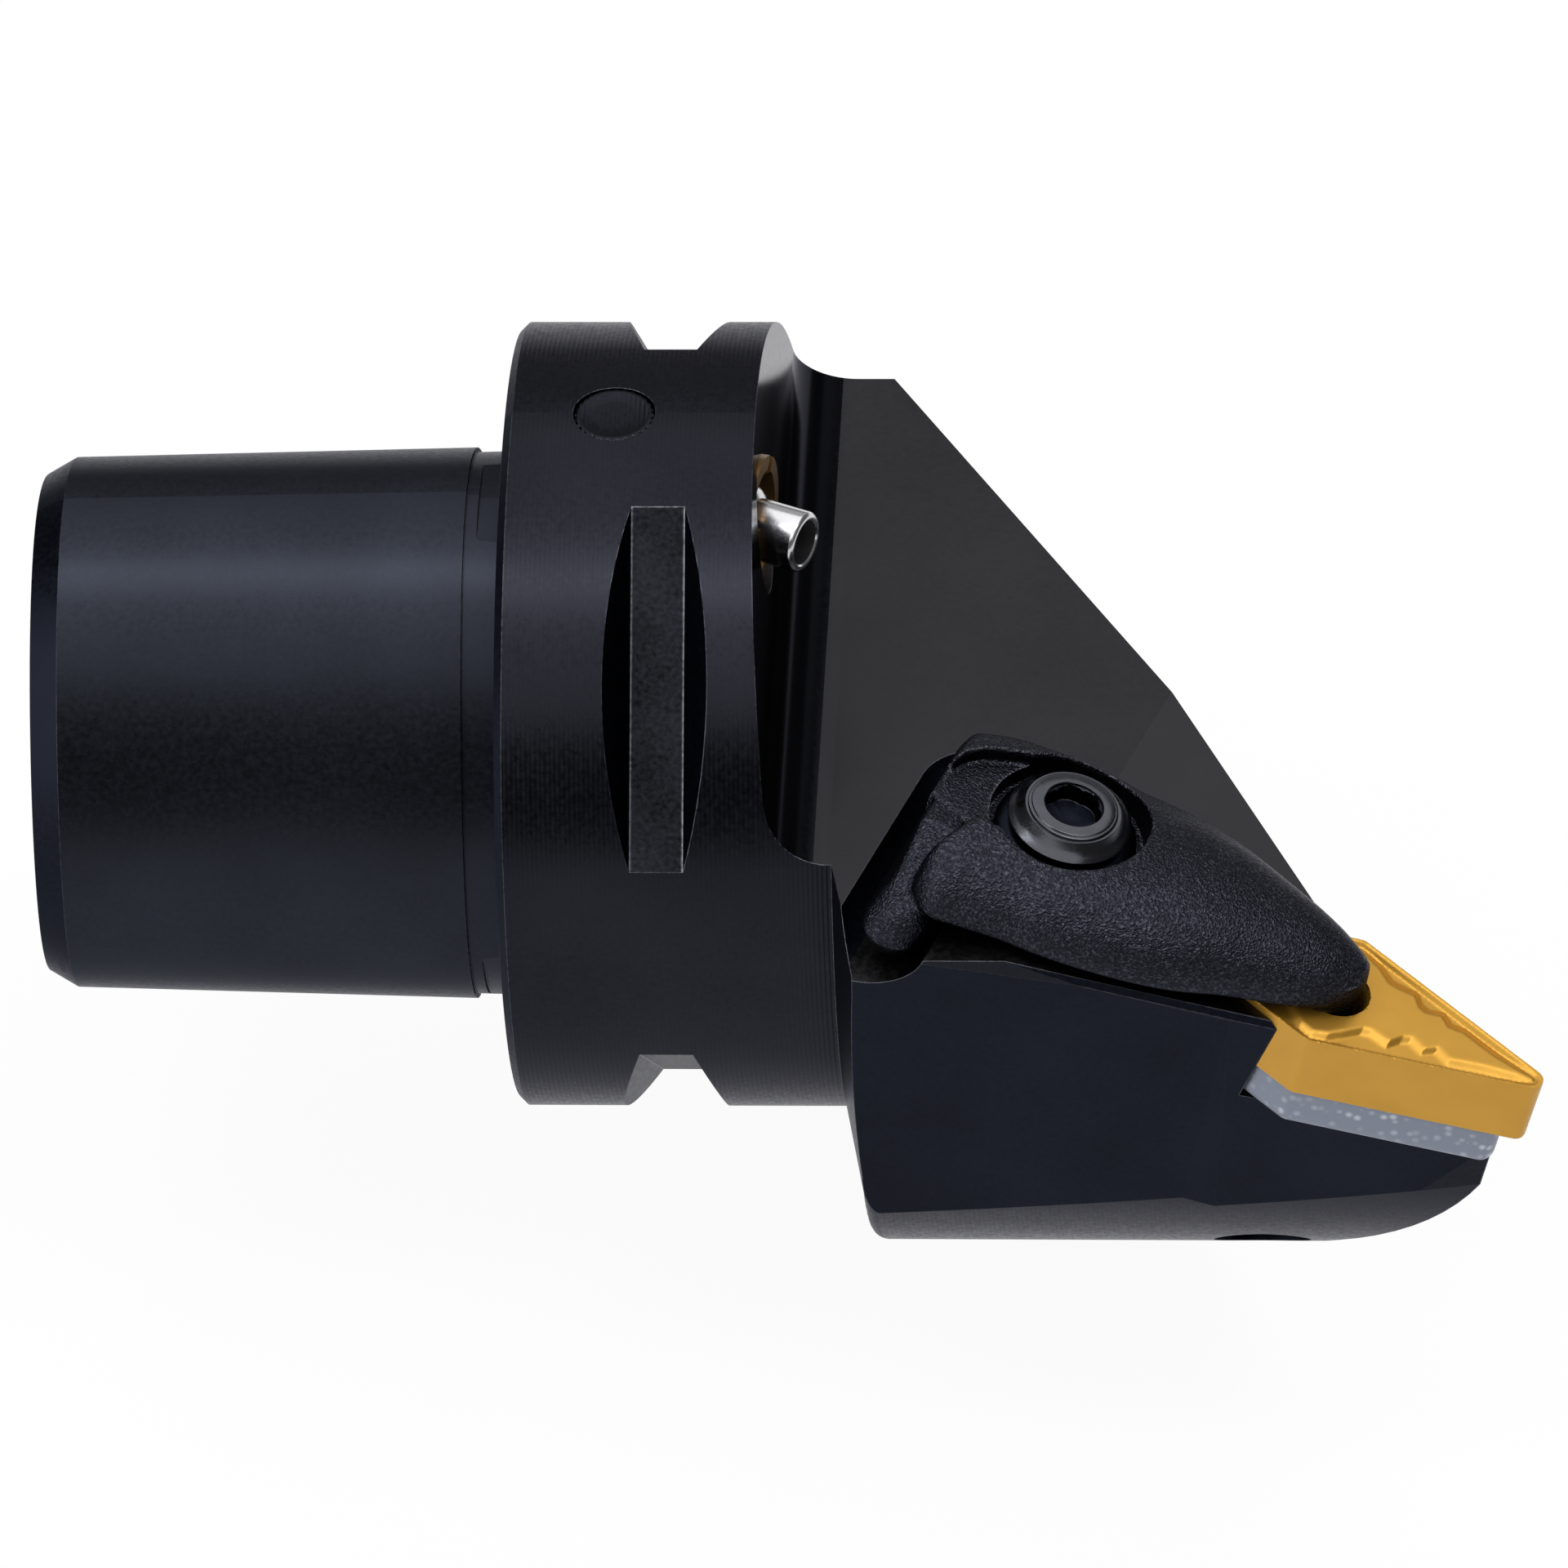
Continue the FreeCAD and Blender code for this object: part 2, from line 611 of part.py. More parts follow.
def channel_cutter():
    """Return the cutter of the round channel that the clamp's heel drops into."""
    across = V(sin(radians(BISECTOR_ANGLE)), cos(radians(BISECTOR_ANGLE)), 0)
    centre = channel_axis_point()
    groove = rod(centre, across, -HEAD_R, CHANNEL_END, CHANNEL_R)
    end = Part.makeSphere(CHANNEL_R, centre + across * CHANNEL_END)
    return groove.fuse(end)


def clamp_point(n):
    """Return a point on the clamp screw's axis at a height above the rake plane."""
    return POCKET.at(CLAMP_AXIS_S, 0, n)


def deck_level_on_clamp_axis():
    """Return the height above the rake plane where the screw's axis meets the body."""
    point = clamp_point(0)
    axis = POCKET.c
    to_top = (TOP_Z - point.z) / axis.z
    normal = deck_normal()
    to_deck = (DECK_KINK - point).dot(normal) / axis.dot(normal)
    return min(to_top, to_deck)


def clamp_screw_hole():
    """Return the cutter of the spring pocket and the clamp screw's thread."""
    level = deck_level_on_clamp_axis()
    floor = level - SPRING_POCKET_DEPTH
    spring = rod(clamp_point(0), POCKET.c, floor, level + OVERRUN, SPRING_POCKET_R)
    thread = rod(clamp_point(0), POCKET.c, floor - CLAMP_THREAD_DEPTH, floor, THREAD_R + THREAD_CLEARANCE)
    return spring.fuse(thread)


def shim_screw_hole():
    """Return the cutter of the shim screw's blind thread in the pocket floor."""
    floor = -INSERT_T - SHIM_T
    return rod(POCKET.origin, POCKET.c, floor - SHIM_THREAD_LENGTH, floor, SHIM_SCREW_R + SCREW_FIT)


def underside_hole():
    """Return the cutter of the round blind hole in the underside of the head."""
    outward = V(0, *polar(1.0, UNDERSIDE_HOLE_POLAR))
    start = V(UNDERSIDE_HOLE_X, 0, 0)
    return rod(start, outward, HEAD_R - UNDERSIDE_HOLE_DEPTH, HEAD_R + OVERRUN, UNDERSIDE_HOLE_R)


def seal_plane():
    """Return the distance of the seal's ring plane behind the ball's centre."""
    reach = BALL_R + SEAL_WIRE_R + SEAL_GAP
    return -sqrt(reach ** 2 - SEAL_RING_R ** 2)


def nozzle_seat_cutter():
    """Return the cutter of the nozzle's stepped seat, seal pocket and feed drilling."""
    axis = unit(SEAT_DIRECTION)
    collar_back = COLLAR_FRONT - COLLAR_LENGTH
    ball_room = BALL_R + BALL_CLEARANCE
    seal_floor = seal_plane() - SEAL_WIRE_R
    feed_end = (PLUG_X - BALL_CENTRE.x) / axis.x
    cutter = ball(ball_room, BALL_CENTRE, axis)
    cutter = cutter.fuse(rod(BALL_CENTRE, axis, 0, collar_back + 0.2, ball_room))
    cutter = cutter.fuse(rod(BALL_CENTRE, axis, collar_back, BIG / 2, COLLAR_R + COLLAR_CLEARANCE))
    cutter = cutter.fuse(rod(BALL_CENTRE, axis, seal_floor, -1.0, SEAL_POCKET_R))
    return cutter.fuse(rod(BALL_CENTRE, axis, feed_end, seal_floor, FEED_BORE_R))


def plug_cutter():
    """Return the cutter of the cross drilling and the plug's seat in the flange."""
    start = V(PLUG_X, 0, 0)
    up = V(0, 0, 1)
    seat_floor = FLANGE_R - PLUG_SINK - PLUG_LENGTH
    drilling = rod(start, up, 0, seat_floor, CROSS_BORE_R)
    seat = rod(start, up, seat_floor, FLANGE_R + OVERRUN, PLUG_R + PLUG_TOOTH + PLUG_FIT)
    return drilling.fuse(seat)


def holder_body():
    """Return the one-piece steel body: shank, flange and head with all their cuts."""
    body = flange().fuse(head_blank())
    body = body.cut(plan_cutter())
    body = body.cut(beyond(side_point(SIDE_STATION_X, 0), side_normal()))
    body = body.cut(side_facet())
    body = body.cut(scoop())
    body = body.cut(deck_cutter())
    body = body.cut(deck_edge_cutter())
    body = body.cut(channel_cutter())
    body = body.cut(pocket_cutter())
    body = body.cut(clamp_screw_hole())
    body = body.cut(shim_screw_hole())
    body = body.cut(underside_hole())
    body = body.cut(nozzle_seat_cutter()).removeSplitter()
    body = body.cut(plug_cutter())
    body = body.fuse(shank())
    return body.cut(clamping_bore())


def chip_groove():
    """Return the cutter of the shallow groove behind the insert's cutting edges."""
    outer = rhombus(RIM_WIDTH, NOSE_R * 0.7)
    plateau = rhombus(RIM_WIDTH + CHIP_GROOVE_WIDTH, NOSE_R * 0.5)
    ring = outer.cut(plateau).extrude(V(0, 0, CHIP_GROOVE_DEPTH))
    return ring


def insert():
    """Return the double-sided rhombic insert with its hole and both chip grooves."""
    solid = rhombus().extrude(V(0, 0, -INSERT_T))
    flare = INSERT_HOLE_FLARE
    hole = turned([(1, 0), (1, INSERT_HOLE_R + flare + 1), (-flare, INSERT_HOLE_R),
                   (-INSERT_T + flare, INSERT_HOLE_R), (-INSERT_T - 1, INSERT_HOLE_R + flare + 1),
                   (-INSERT_T - 1, 0)], axis=V(0, 0, 1))
    solid = solid.cut(hole)
    upper = chip_groove()
    upper.translate(V(0, 0, -CHIP_GROOVE_DEPTH))
    lower = chip_groove()
    lower.translate(V(0, 0, -INSERT_T))
    return POCKET.place(solid.cut(upper).cut(lower))


def shim_screw_head_level():
    """Return the height of the shim screw's head, sunk below the insert's seat."""
    return -INSERT_T - SHIM_SCREW_HEAD_SINK


def countersink_depth():
    """Return the height of the shim screw's 90 degree head cone."""
    return SHIM_SCREW_HEAD_R - SHIM_SCREW_R


def shim_rear_cutter():
    """Return the cutter of the wide chamfer under the shim's two rear flanks."""
    half = radians(INSERT_ANGLE / 2)
    rear = V(SHIM_INSET / sin(half) - insert_half_diagonal(), 0, SHIM_REAR_CHAMFER - SHIM_T)
    cutters = [beyond(rear, V(-sin(half), side * cos(half), -1)) for side in (1, -1)]
    return cutters[0].fuse(cutters[1])


def shim():
    """Return the carbide shim with rounded lower edges and a countersunk hole."""
    outline = rhombus(SHIM_INSET, SHIM_NOSE_R, SHIM_CORNER_R)
    solid = outline.extrude(V(0, 0, -SHIM_T))
    floor_edges = [edge for edge in solid.Edges if edge.BoundBox.ZMax < -SHIM_T + 0.01]
    solid = solid.makeChamfer(SHIM_EDGE_BREAK, floor_edges)
    solid = solid.cut(shim_rear_cutter())
    sink = SHIM_SCREW_HEAD_SINK
    cone_r = SHIM_SCREW_HEAD_R + 0.05
    bore_r = SHIM_SCREW_R + 0.15
    hole = turned([(1, 0), (1, cone_r), (-sink, cone_r), (-sink - (cone_r - bore_r), bore_r),
                   (-SHIM_T - 1, bore_r), (-SHIM_T - 1, 0)], axis=V(0, 0, 1))
    solid = solid.cut(hole)
    solid.translate(V(0, 0, -INSERT_T))
    return POCKET.place(solid)


def six_lobe(radius, lobe, depth):
    """Return a six-lobe socket cutter that opens at local height zero, pointing down."""
    corners = []
    for step in range(SOCKET_STEPS):
        angle = 2 * pi * step / SOCKET_STEPS
        reach = radius - lobe / 2 + lobe / 2 * cos(6 * angle)
        corners.append(V(reach * cos(angle), reach * sin(angle), 0))
    return prism(corners, V(0, 0, -depth))


def shim_screw():
    """Return the countersunk screw that holds the shim on the pocket floor."""
    top = shim_screw_head_level()
    cone = countersink_depth()
    end = top - SHIM_SCREW_LENGTH
    solid = turned([(top, 0), (top, SHIM_SCREW_HEAD_R), (top - cone, SHIM_SCREW_R),
                    (end + 0.5, SHIM_SCREW_R), (end, SHIM_SCREW_R - 0.5), (end, 0)], axis=V(0, 0, 1))
    socket = six_lobe(SHIM_SCREW_SOCKET_R, SHIM_SCREW_LOBE, SHIM_SCREW_SOCKET_DEPTH)
    socket.translate(V(0, 0, top))
    return POCKET.place(solid.cut(socket))


def clamp_section(s, near, far, crown):
    """Return one cross-section wire of the clamp: a flat base under a rounded crown."""
    half_width = (far - near) / 2
    middle = (far + near) / 2
    height = crown - CLAMP_BASE
    points = []
    for side in range(CLAMP_SIDES + 1):
        angle = pi * side / CLAMP_SIDES
        across = half_width * abs(cos(angle)) ** (2 / CLAMP_FULLNESS)
        if angle > pi / 2:
            across = -across
        rise = height * abs(sin(angle)) ** (2 / CLAMP_FULLNESS)
        points.append(V(s, middle + across, CLAMP_BASE + rise))
    return Part.makePolygon(points + [points[0]])


def clamp_panel():
    """Return the cutter of the flat recess between the clamp's rear edge and its seat."""
    corners = [V(s, t, 0) for s, t in PANEL_CORNERS]
    cutter = Part.Face(rounded_outline(corners, PANEL_CORNER_R)).extrude(V(0, 0, CLAMP_TOP))
    cutter.translate(V(0, 0, PANEL_Z))
    return cutter


def heel_centre():
    """Return the local (s, n) centre of the heel's round foot, clear of the channel."""
    offset = channel_axis_point() - POCKET.origin
    channel_s = offset.dot(POCKET.a)
    channel_n = offset.dot(POCKET.c)
    reach = CHANNEL_R - HEEL_R - HEEL_GAP
    back = HEEL_S - channel_s
    return HEEL_S, channel_n - sqrt(reach ** 2 - back ** 2)


def heel():
    """Return the clamp's heel: a round-ended foot bar under a solid web."""
    s, n = heel_centre()
    across = V(0, 1, 0)
    soft = HEEL_END_R / sqrt(2)
    flat_r = HEEL_R - HEEL_END_R
    half_end = [(HEEL_END_R, HEEL_R), (HEEL_END_R - soft, flat_r + soft), (0, flat_r), (0, 0)]
    profile = [(HEEL_FAR - along, radius) for along, radius in reversed(half_end)]
    profile += [(along - HEEL_NEAR, radius) for along, radius in half_end]
    foot = turned(profile, V(s, 0, n), across)
    web_start = -HEEL_NEAR + HEEL_R
    web_length = HEEL_NEAR + HEEL_FAR - 2 * HEEL_R
    web = Part.makeBox(2 * HEEL_R, web_length, CLAMP_BASE - n + 1, V(s - HEEL_R, web_start, n))
    return foot.fuse(web)


def clamp():
    """Return the teardrop top clamp with its heel, nose pad, hook, seat and flat recess."""
    sections = [clamp_section(*station) for station in CLAMP_STATIONS]
    body = Part.makeLoft(sections, True, True)
    body = body.fuse(heel())
    pad = Part.makeCylinder(CLAMP_PAD_R, CLAMP_BASE + 1, V(CLAMP_PAD_S, 0, 0))
    body = body.fuse(pad)
    hook = Part.makeCylinder(HOOK_R, HOOK_DEPTH + CLAMP_BASE + 1, V(-HOOK_BACK, 0, -HOOK_DEPTH))
    body = body.fuse(hook)
    seat = Part.makeCylinder(CLAMP_SEAT_R, CLAMP_TOP, V(CLAMP_AXIS_S, 0, CLAMP_SEAT_Z))
    bore = Part.makeCylinder(CLAMP_BORE_R, 2 * CLAMP_TOP, V(CLAMP_AXIS_S, 0, -CLAMP_TOP))
    body = body.cut(seat).cut(bore).cut(clamp_panel())
    return POCKET.place(body)


def clamp_washer():
    """Return the dished washer that the clamp screw's head bears on."""
    floor = CLAMP_SEAT_Z
    profile = [(floor, WASHER_BORE_R), (floor, WASHER_R), (floor + WASHER_T * 0.5, WASHER_R),
               (floor + WASHER_T, WASHER_R - 0.7), (floor + WASHER_T, WASHER_BORE_R)]
    return POCKET.place(turned(profile, V(CLAMP_AXIS_S, 0, 0), V(0, 0, 1)))


def clamp_screw():
    """Return the clamp screw: six-lobe socket, stepped and flared head, plain shank."""
    seat = CLAMP_SEAT_Z + WASHER_T
    top = seat + HEAD_HEIGHT
    end = seat - CLAMP_SCREW_LENGTH
    profile = [
        (top, 0), (top, HEAD_STEP_R), (top - HEAD_STEP_T, HEAD_STEP_R),
        (top - HEAD_STEP_T, HEAD_CONE_TOP_R), (seat + HEAD_SKIRT_LOW + HEAD_SKIRT_T, HEAD_SKIRT_R),
        (seat + HEAD_SKIRT_LOW, HEAD_SKIRT_R), (seat, HEAD_SEAT_R), (seat, THREAD_R),
        (end + 0.8, THREAD_R), (end, THREAD_R - 0.8), (end, 0)]
    solid = turned(profile, axis=V(0, 0, 1))
    socket = six_lobe(SOCKET_R, SOCKET_LOBE, SOCKET_DEPTH)
    socket.translate(V(0, 0, top))
    solid = solid.cut(socket)
    solid.translate(V(CLAMP_AXIS_S, 0, 0))
    return POCKET.place(solid)


def clamp_spring():
    """Return the coil spring that lifts the clamp when its screw is slackened."""
    floor = deck_level_on_clamp_axis() - SPRING_POCKET_DEPTH + SPRING_END_GAP + SPRING_WIRE_R
    height = CLAMP_BASE - SPRING_END_GAP - SPRING_WIRE_R - floor
    steps = int(SPRING_TURNS * SPRING_STEPS)
    climb = height * SPRING_STEPS / (2 * pi * steps)
    rings = []
    for step in range(steps + 1):
        angle = 2 * pi * step / SPRING_STEPS
        radial = V(cos(angle), sin(angle), 0)
        tangent = V(-SPRING_MEAN_R * sin(angle), SPRING_MEAN_R * cos(angle), climb)
        centre = radial * SPRING_MEAN_R + V(CLAMP_AXIS_S, 0, floor + height * step / steps)
        frame = Frame(centre, radial, tangent)
        corners = []
        for side in range(SPRING_WIRE_SIDES + 1):
            turn = 2 * pi * (side % SPRING_WIRE_SIDES) / SPRING_WIRE_SIDES
            corners.append(frame.at(SPRING_WIRE_R * cos(turn), SPRING_WIRE_R * sin(turn)))
        rings.append(Part.makePolygon(corners))
    return POCKET.place(Part.makeLoft(rings, True, True))


def nozzle():
    """Return the coolant nozzle: a drilled ball with a short stub tube."""
    axis = unit(NOZZLE_DIRECTION)
    chamfer = NOZZLE_TIP_CHAMFER
    stub = turned([(0, 0), (0, NOZZLE_TUBE_R), (NOZZLE_REACH - chamfer, NOZZLE_TUBE_R),
                   (NOZZLE_REACH, NOZZLE_TUBE_R - chamfer), (NOZZLE_REACH, 0)], BALL_CENTRE, axis)
    solid = ball(BALL_R, BALL_CENTRE, axis).fuse(stub)
    return solid.cut(rod(BALL_CENTRE, axis, -BALL_R - 1, NOZZLE_REACH + 1, NOZZLE_BORE_R))


def nozzle_collar():
    """Return the slotted brass ring that screws in over the nozzle's ball."""
    axis = unit(SEAT_DIRECTION)
    lip = sqrt((BALL_R + BALL_CLEARANCE) ** 2 - COLLAR_LIP_R ** 2)
    ring = rod(BALL_CENTRE, axis, COLLAR_FRONT - COLLAR_LENGTH, COLLAR_FRONT, COLLAR_R)
    ring = ring.cut(ball(BALL_R + BALL_CLEARANCE, BALL_CENTRE, axis))
    mouth = turned([(0, 0), (0, COLLAR_LIP_R), (lip, COLLAR_LIP_R), (COLLAR_FRONT, COLLAR_MOUTH_R),
                    (COLLAR_FRONT + 1, COLLAR_MOUTH_R), (COLLAR_FRONT + 1, 0)], BALL_CENTRE, axis)
    ring = ring.cut(mouth)
    frame = Frame(BALL_CENTRE + axis * (COLLAR_FRONT - COLLAR_SLOT_DEPTH), side_of(axis), axis)
    for index in range(COLLAR_SLOTS):
        slot = Part.makeBox(COLLAR_R, COLLAR_SLOT_WIDTH, COLLAR_LENGTH,
                            V(COLLAR_LIP_R - 0.5, -COLLAR_SLOT_WIDTH / 2, 0))
        slot.rotate(V(0, 0, 0), V(0, 0, 1), 360.0 * (index + 0.5) / COLLAR_SLOTS)
        ring = ring.cut(frame.place(slot))
    return ring


def nozzle_seal():
    """Return the O-ring that seals the back of the nozzle's ball."""
    axis = unit(SEAT_DIRECTION)
    profile = []
    for side in range(SEAL_SIDES):
        turn = 2 * pi * side / SEAL_SIDES
        profile.append((seal_plane() + SEAL_WIRE_R * sin(turn), SEAL_RING_R + SEAL_WIRE_R * cos(turn)))
    return turned(profile, BALL_CENTRE, axis)


def channel_plug():
    """Return the serrated plug that closes the cross drilling in the flange."""
    corners = []
    for step in range(2 * PLUG_TEETH):
        reach = PLUG_R + (PLUG_TOOTH if step % 2 else 0)
        angle = pi * step / PLUG_TEETH
        corners.append(V(PLUG_X + reach * cos(angle), reach * sin(angle), 0))
    crown = prism(corners, V(0, 0, PLUG_COLLAR_LENGTH))
    crown.translate(V(0, 0, FLANGE_R - PLUG_SINK - PLUG_COLLAR_LENGTH))
    stem = rod(V(PLUG_X, 0, 0), V(0, 0, 1), FLANGE_R - PLUG_SINK - PLUG_LENGTH,
               FLANGE_R - PLUG_SINK - PLUG_COLLAR_LENGTH, PLUG_R)
    return crown.fuse(stem)


NODES = {
    "holder_body": holder_body,
    "insert": insert,
    "shim": shim,
    "shim_screw": shim_screw,
    "clamp": clamp,
    "clamp_washer": clamp_washer,
    "clamp_screw": clamp_screw,
    "clamp_spring": clamp_spring,
    "nozzle": nozzle,
    "nozzle_collar": nozzle_collar,
    "nozzle_seal": nozzle_seal,
    "channel_plug": channel_plug,
}


def main():
    """Write one STEP file for each piece of the holder."""
    os.makedirs("parts", exist_ok=True)
    for name, build in NODES.items():
        shape = build()
        shape.exportStep("parts/" + name + ".step")
        print(name, "solids", len(shape.Solids), "valid", shape.isValid(), "mm3", round(shape.Volume, 1))


main()
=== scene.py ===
"""Looks of a size-50 polygon-shank turning tool holder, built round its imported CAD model.

The frame is the CAD's: the origin is the centre of the flange's contact face, +X runs
towards the cutting tip and +Z is the rake side. The insert, shim, clamp and screws are
shaped in the pocket frame, in millimetres: s along the insert's long diagonal towards
the tip, t across it and n along the rake normal, from the insert's hole.
"""

import json
import logging
import math
from abc import ABC, abstractmethod
from dataclasses import dataclass, field
from enum import Enum
from typing import Callable, Dict, List, Optional, Sequence, Tuple

import bmesh
import bpy
import numpy as np
from mathutils import Matrix, Vector

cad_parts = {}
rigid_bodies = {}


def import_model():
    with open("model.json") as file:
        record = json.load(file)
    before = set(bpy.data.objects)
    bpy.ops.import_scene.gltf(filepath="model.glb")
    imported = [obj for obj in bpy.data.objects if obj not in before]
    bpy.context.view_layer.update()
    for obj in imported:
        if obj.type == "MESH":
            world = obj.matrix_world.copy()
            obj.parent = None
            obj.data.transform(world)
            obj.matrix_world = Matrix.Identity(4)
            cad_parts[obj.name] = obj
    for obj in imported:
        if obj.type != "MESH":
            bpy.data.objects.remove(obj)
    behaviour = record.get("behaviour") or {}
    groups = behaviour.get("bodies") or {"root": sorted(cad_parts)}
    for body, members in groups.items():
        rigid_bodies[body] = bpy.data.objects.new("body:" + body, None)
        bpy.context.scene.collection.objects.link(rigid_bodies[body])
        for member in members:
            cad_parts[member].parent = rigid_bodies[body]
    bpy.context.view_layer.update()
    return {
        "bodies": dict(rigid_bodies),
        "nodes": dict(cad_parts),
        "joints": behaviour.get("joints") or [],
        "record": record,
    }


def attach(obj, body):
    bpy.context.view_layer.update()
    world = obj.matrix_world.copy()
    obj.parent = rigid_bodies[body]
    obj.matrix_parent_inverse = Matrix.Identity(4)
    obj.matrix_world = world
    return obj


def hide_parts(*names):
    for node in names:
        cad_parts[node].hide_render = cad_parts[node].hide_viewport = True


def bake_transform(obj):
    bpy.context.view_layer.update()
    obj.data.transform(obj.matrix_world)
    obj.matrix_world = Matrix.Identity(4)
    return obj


LOG = logging.getLogger("holder")
MM = 0.001
SHARP_EDGE = math.radians(32.0)

Array = np.ndarray
Field3 = Callable[[Array, Array, Array], Array]
Point2 = Tuple[float, float]
Point3 = Tuple[float, float, float]


# Frames


@dataclass(frozen=True)
class Axes:
    """A right-handed local frame, in millimetres."""

    origin: Vector
    a: Vector
    b: Vector
    c: Vector

    @classmethod
    def along(cls, origin: Vector, direction: Vector, side: Vector) -> "Axes":
        """Return a frame whose third axis is a direction.

        Args:
            origin: The frame's origin in millimetres.
            direction: The third axis.
            side: A vector that the first axis leans towards.

        Returns:
            The frame, with unit axes.
        """
        c = direction.normalized()
        a = (side - c * side.dot(c)).normalized()
        return cls(origin, a, c.cross(a), c)

    def matrix(self) -> Matrix:
        """Return the matrix from local millimetres to global metres."""
        rows = [[self.a[i], self.b[i], self.c[i], self.origin[i]] for i in range(3)]
        return Matrix.Scale(MM, 4) @ Matrix(rows + [[0.0, 0.0, 0.0, 1.0]])


INSERT_ANGLE = 35.0
INSCRIBED_R = 4.7625
INSERT_T = 4.76
NOSE_R = 0.8
BISECTOR_ANGLE = 20.5
RAKE_SLOPE_X = -0.24
RAKE_SLOPE_Y = 0.07
TIP = (65.0, -35.0)
CLAMP_AXIS_S = -19.15


def pocket_axes() -> Axes:
    """Return the pocket frame, from the insert's nose, its bisector and the rake plane."""
    half = math.radians(INSERT_ANGLE / 2)
    plan = Vector((math.cos(math.radians(BISECTOR_ANGLE)), -math.sin(math.radians(BISECTOR_ANGLE)), 0.0))
    along = Vector((plan.x, plan.y, RAKE_SLOPE_X * plan.x + RAKE_SLOPE_Y * plan.y)).normalized()
    nose = Vector((TIP[0] - NOSE_R, TIP[1] + NOSE_R, 0.0))
    nose.z = RAKE_SLOPE_X * (nose.x - TIP[0]) + RAKE_SLOPE_Y * (nose.y - TIP[1])
    half_diagonal = 2 * INSCRIBED_R / math.sin(2 * half) * math.cos(half)
    hole = nose - along * (half_diagonal - NOSE_R / math.sin(half))
    return Axes.along(hole, Vector((-RAKE_SLOPE_X, -RAKE_SLOPE_Y, 1.0)), along)


POCKET = pocket_axes()
BALL_CENTRE = Vector((13.5, -2.4, 18.4))
NOZZLE_AXES = Axes.along(BALL_CENTRE, Vector((0.9, -0.434, 0.03)), Vector((0.0, 0.0, 1.0)))
PLUG_AXES = Axes.along(Vector((6.9, 0.0, 0.0)), Vector((0.0, 0.0, 1.0)), Vector((1.0, 0.0, 0.0)))


# Distance fields


def smooth_max(a: Array, b: Array, blend: float) -> Array:
    """Return the larger of two fields, with a round transition.

    Args:
        a: First field.
        b: Second field.
        blend: Width of the transition in millimetres.

    Returns:
        The blended field.
    """
    share = np.clip(0.5 + 0.5 * (a - b) / blend, 0.0, 1.0)
    return b + (a - b) * share + blend * share * (1.0 - share)


def smooth_min(a: Array, b: Array, blend: float) -> Array:
    """Return the smaller of two fields, with a round transition of the given width."""
    return -smooth_max(-a, -b, blend)


def polygon_distance(corners: Sequence[Point2], x: Array, y: Array) -> Array:
    """Return the signed distance to a closed polygon, negative inside.

    Args:
        corners: The polygon's corners in order.
        x: First coordinate of each sample.
        y: Second coordinate of each sample.

    Returns:
        The distance at each sample.
    """
    nearest = np.full(x.shape, np.inf)
    inside = np.zeros(x.shape, bool)
    for (ax, ay), (bx, by) in zip(corners, list(corners[1:]) + [corners[0]]):
        ex, ey = bx - ax, by - ay
        share = np.clip(((x - ax) * ex + (y - ay) * ey) / (ex * ex + ey * ey), 0.0, 1.0)
        nearest = np.minimum(nearest, (x - ax - share * ex) ** 2 + (y - ay - share * ey) ** 2)
        if ey != 0.0:
            crosses = (ay > y) != (by > y)
            inside ^= crosses & (x < ex * (y - ay) / ey + ax)
    return np.where(inside, -1.0, 1.0) * np.sqrt(nearest)


def smooth_step(low: float, high: float, x: Array) -> Array:
    """Return 0 below low, 1 above high and an S-curve between."""
    share = np.clip((x - low) / (high - low), 0.0, 1.0)
    return share * share * (3.0 - 2.0 * share)


class Spline:
    """A smooth curve of values over stations, with no overshoot at its ends."""

    def __init__(self, stations: Sequence[float], values: Sequence[float]) -> None:
        """Sample a monotone cubic through the stations.

        Args:
            stations: Rising positions.
            values: The value at each position.
        """
        x, y = np.array(stations, float), np.array(values, float)
        step = np.diff(x)
        slope = np.diff(y) / step
        tangent = np.concatenate([[slope[0]], (slope[:-1] + slope[1:]) / 2, [slope[-1]]])
        self.fine = np.linspace(x[0], x[-1], 400)
        index = np.clip(np.searchsorted(x, self.fine, side="right") - 1, 0, len(x) - 2)
        u = (self.fine - x[index]) / step[index]
        h00, h10 = 2 * u**3 - 3 * u**2 + 1, u**3 - 2 * u**2 + u
        h01, h11 = -2 * u**3 + 3 * u**2, u**3 - u**2
        self.value = (h00 * y[index] + h10 * step[index] * tangent[index]
                      + h01 * y[index + 1] + h11 * step[index] * tangent[index + 1])

    def at(self, x: Array) -> Array:
        """Return the curve's value at each position."""
        return np.interp(x, self.fine, self.value)


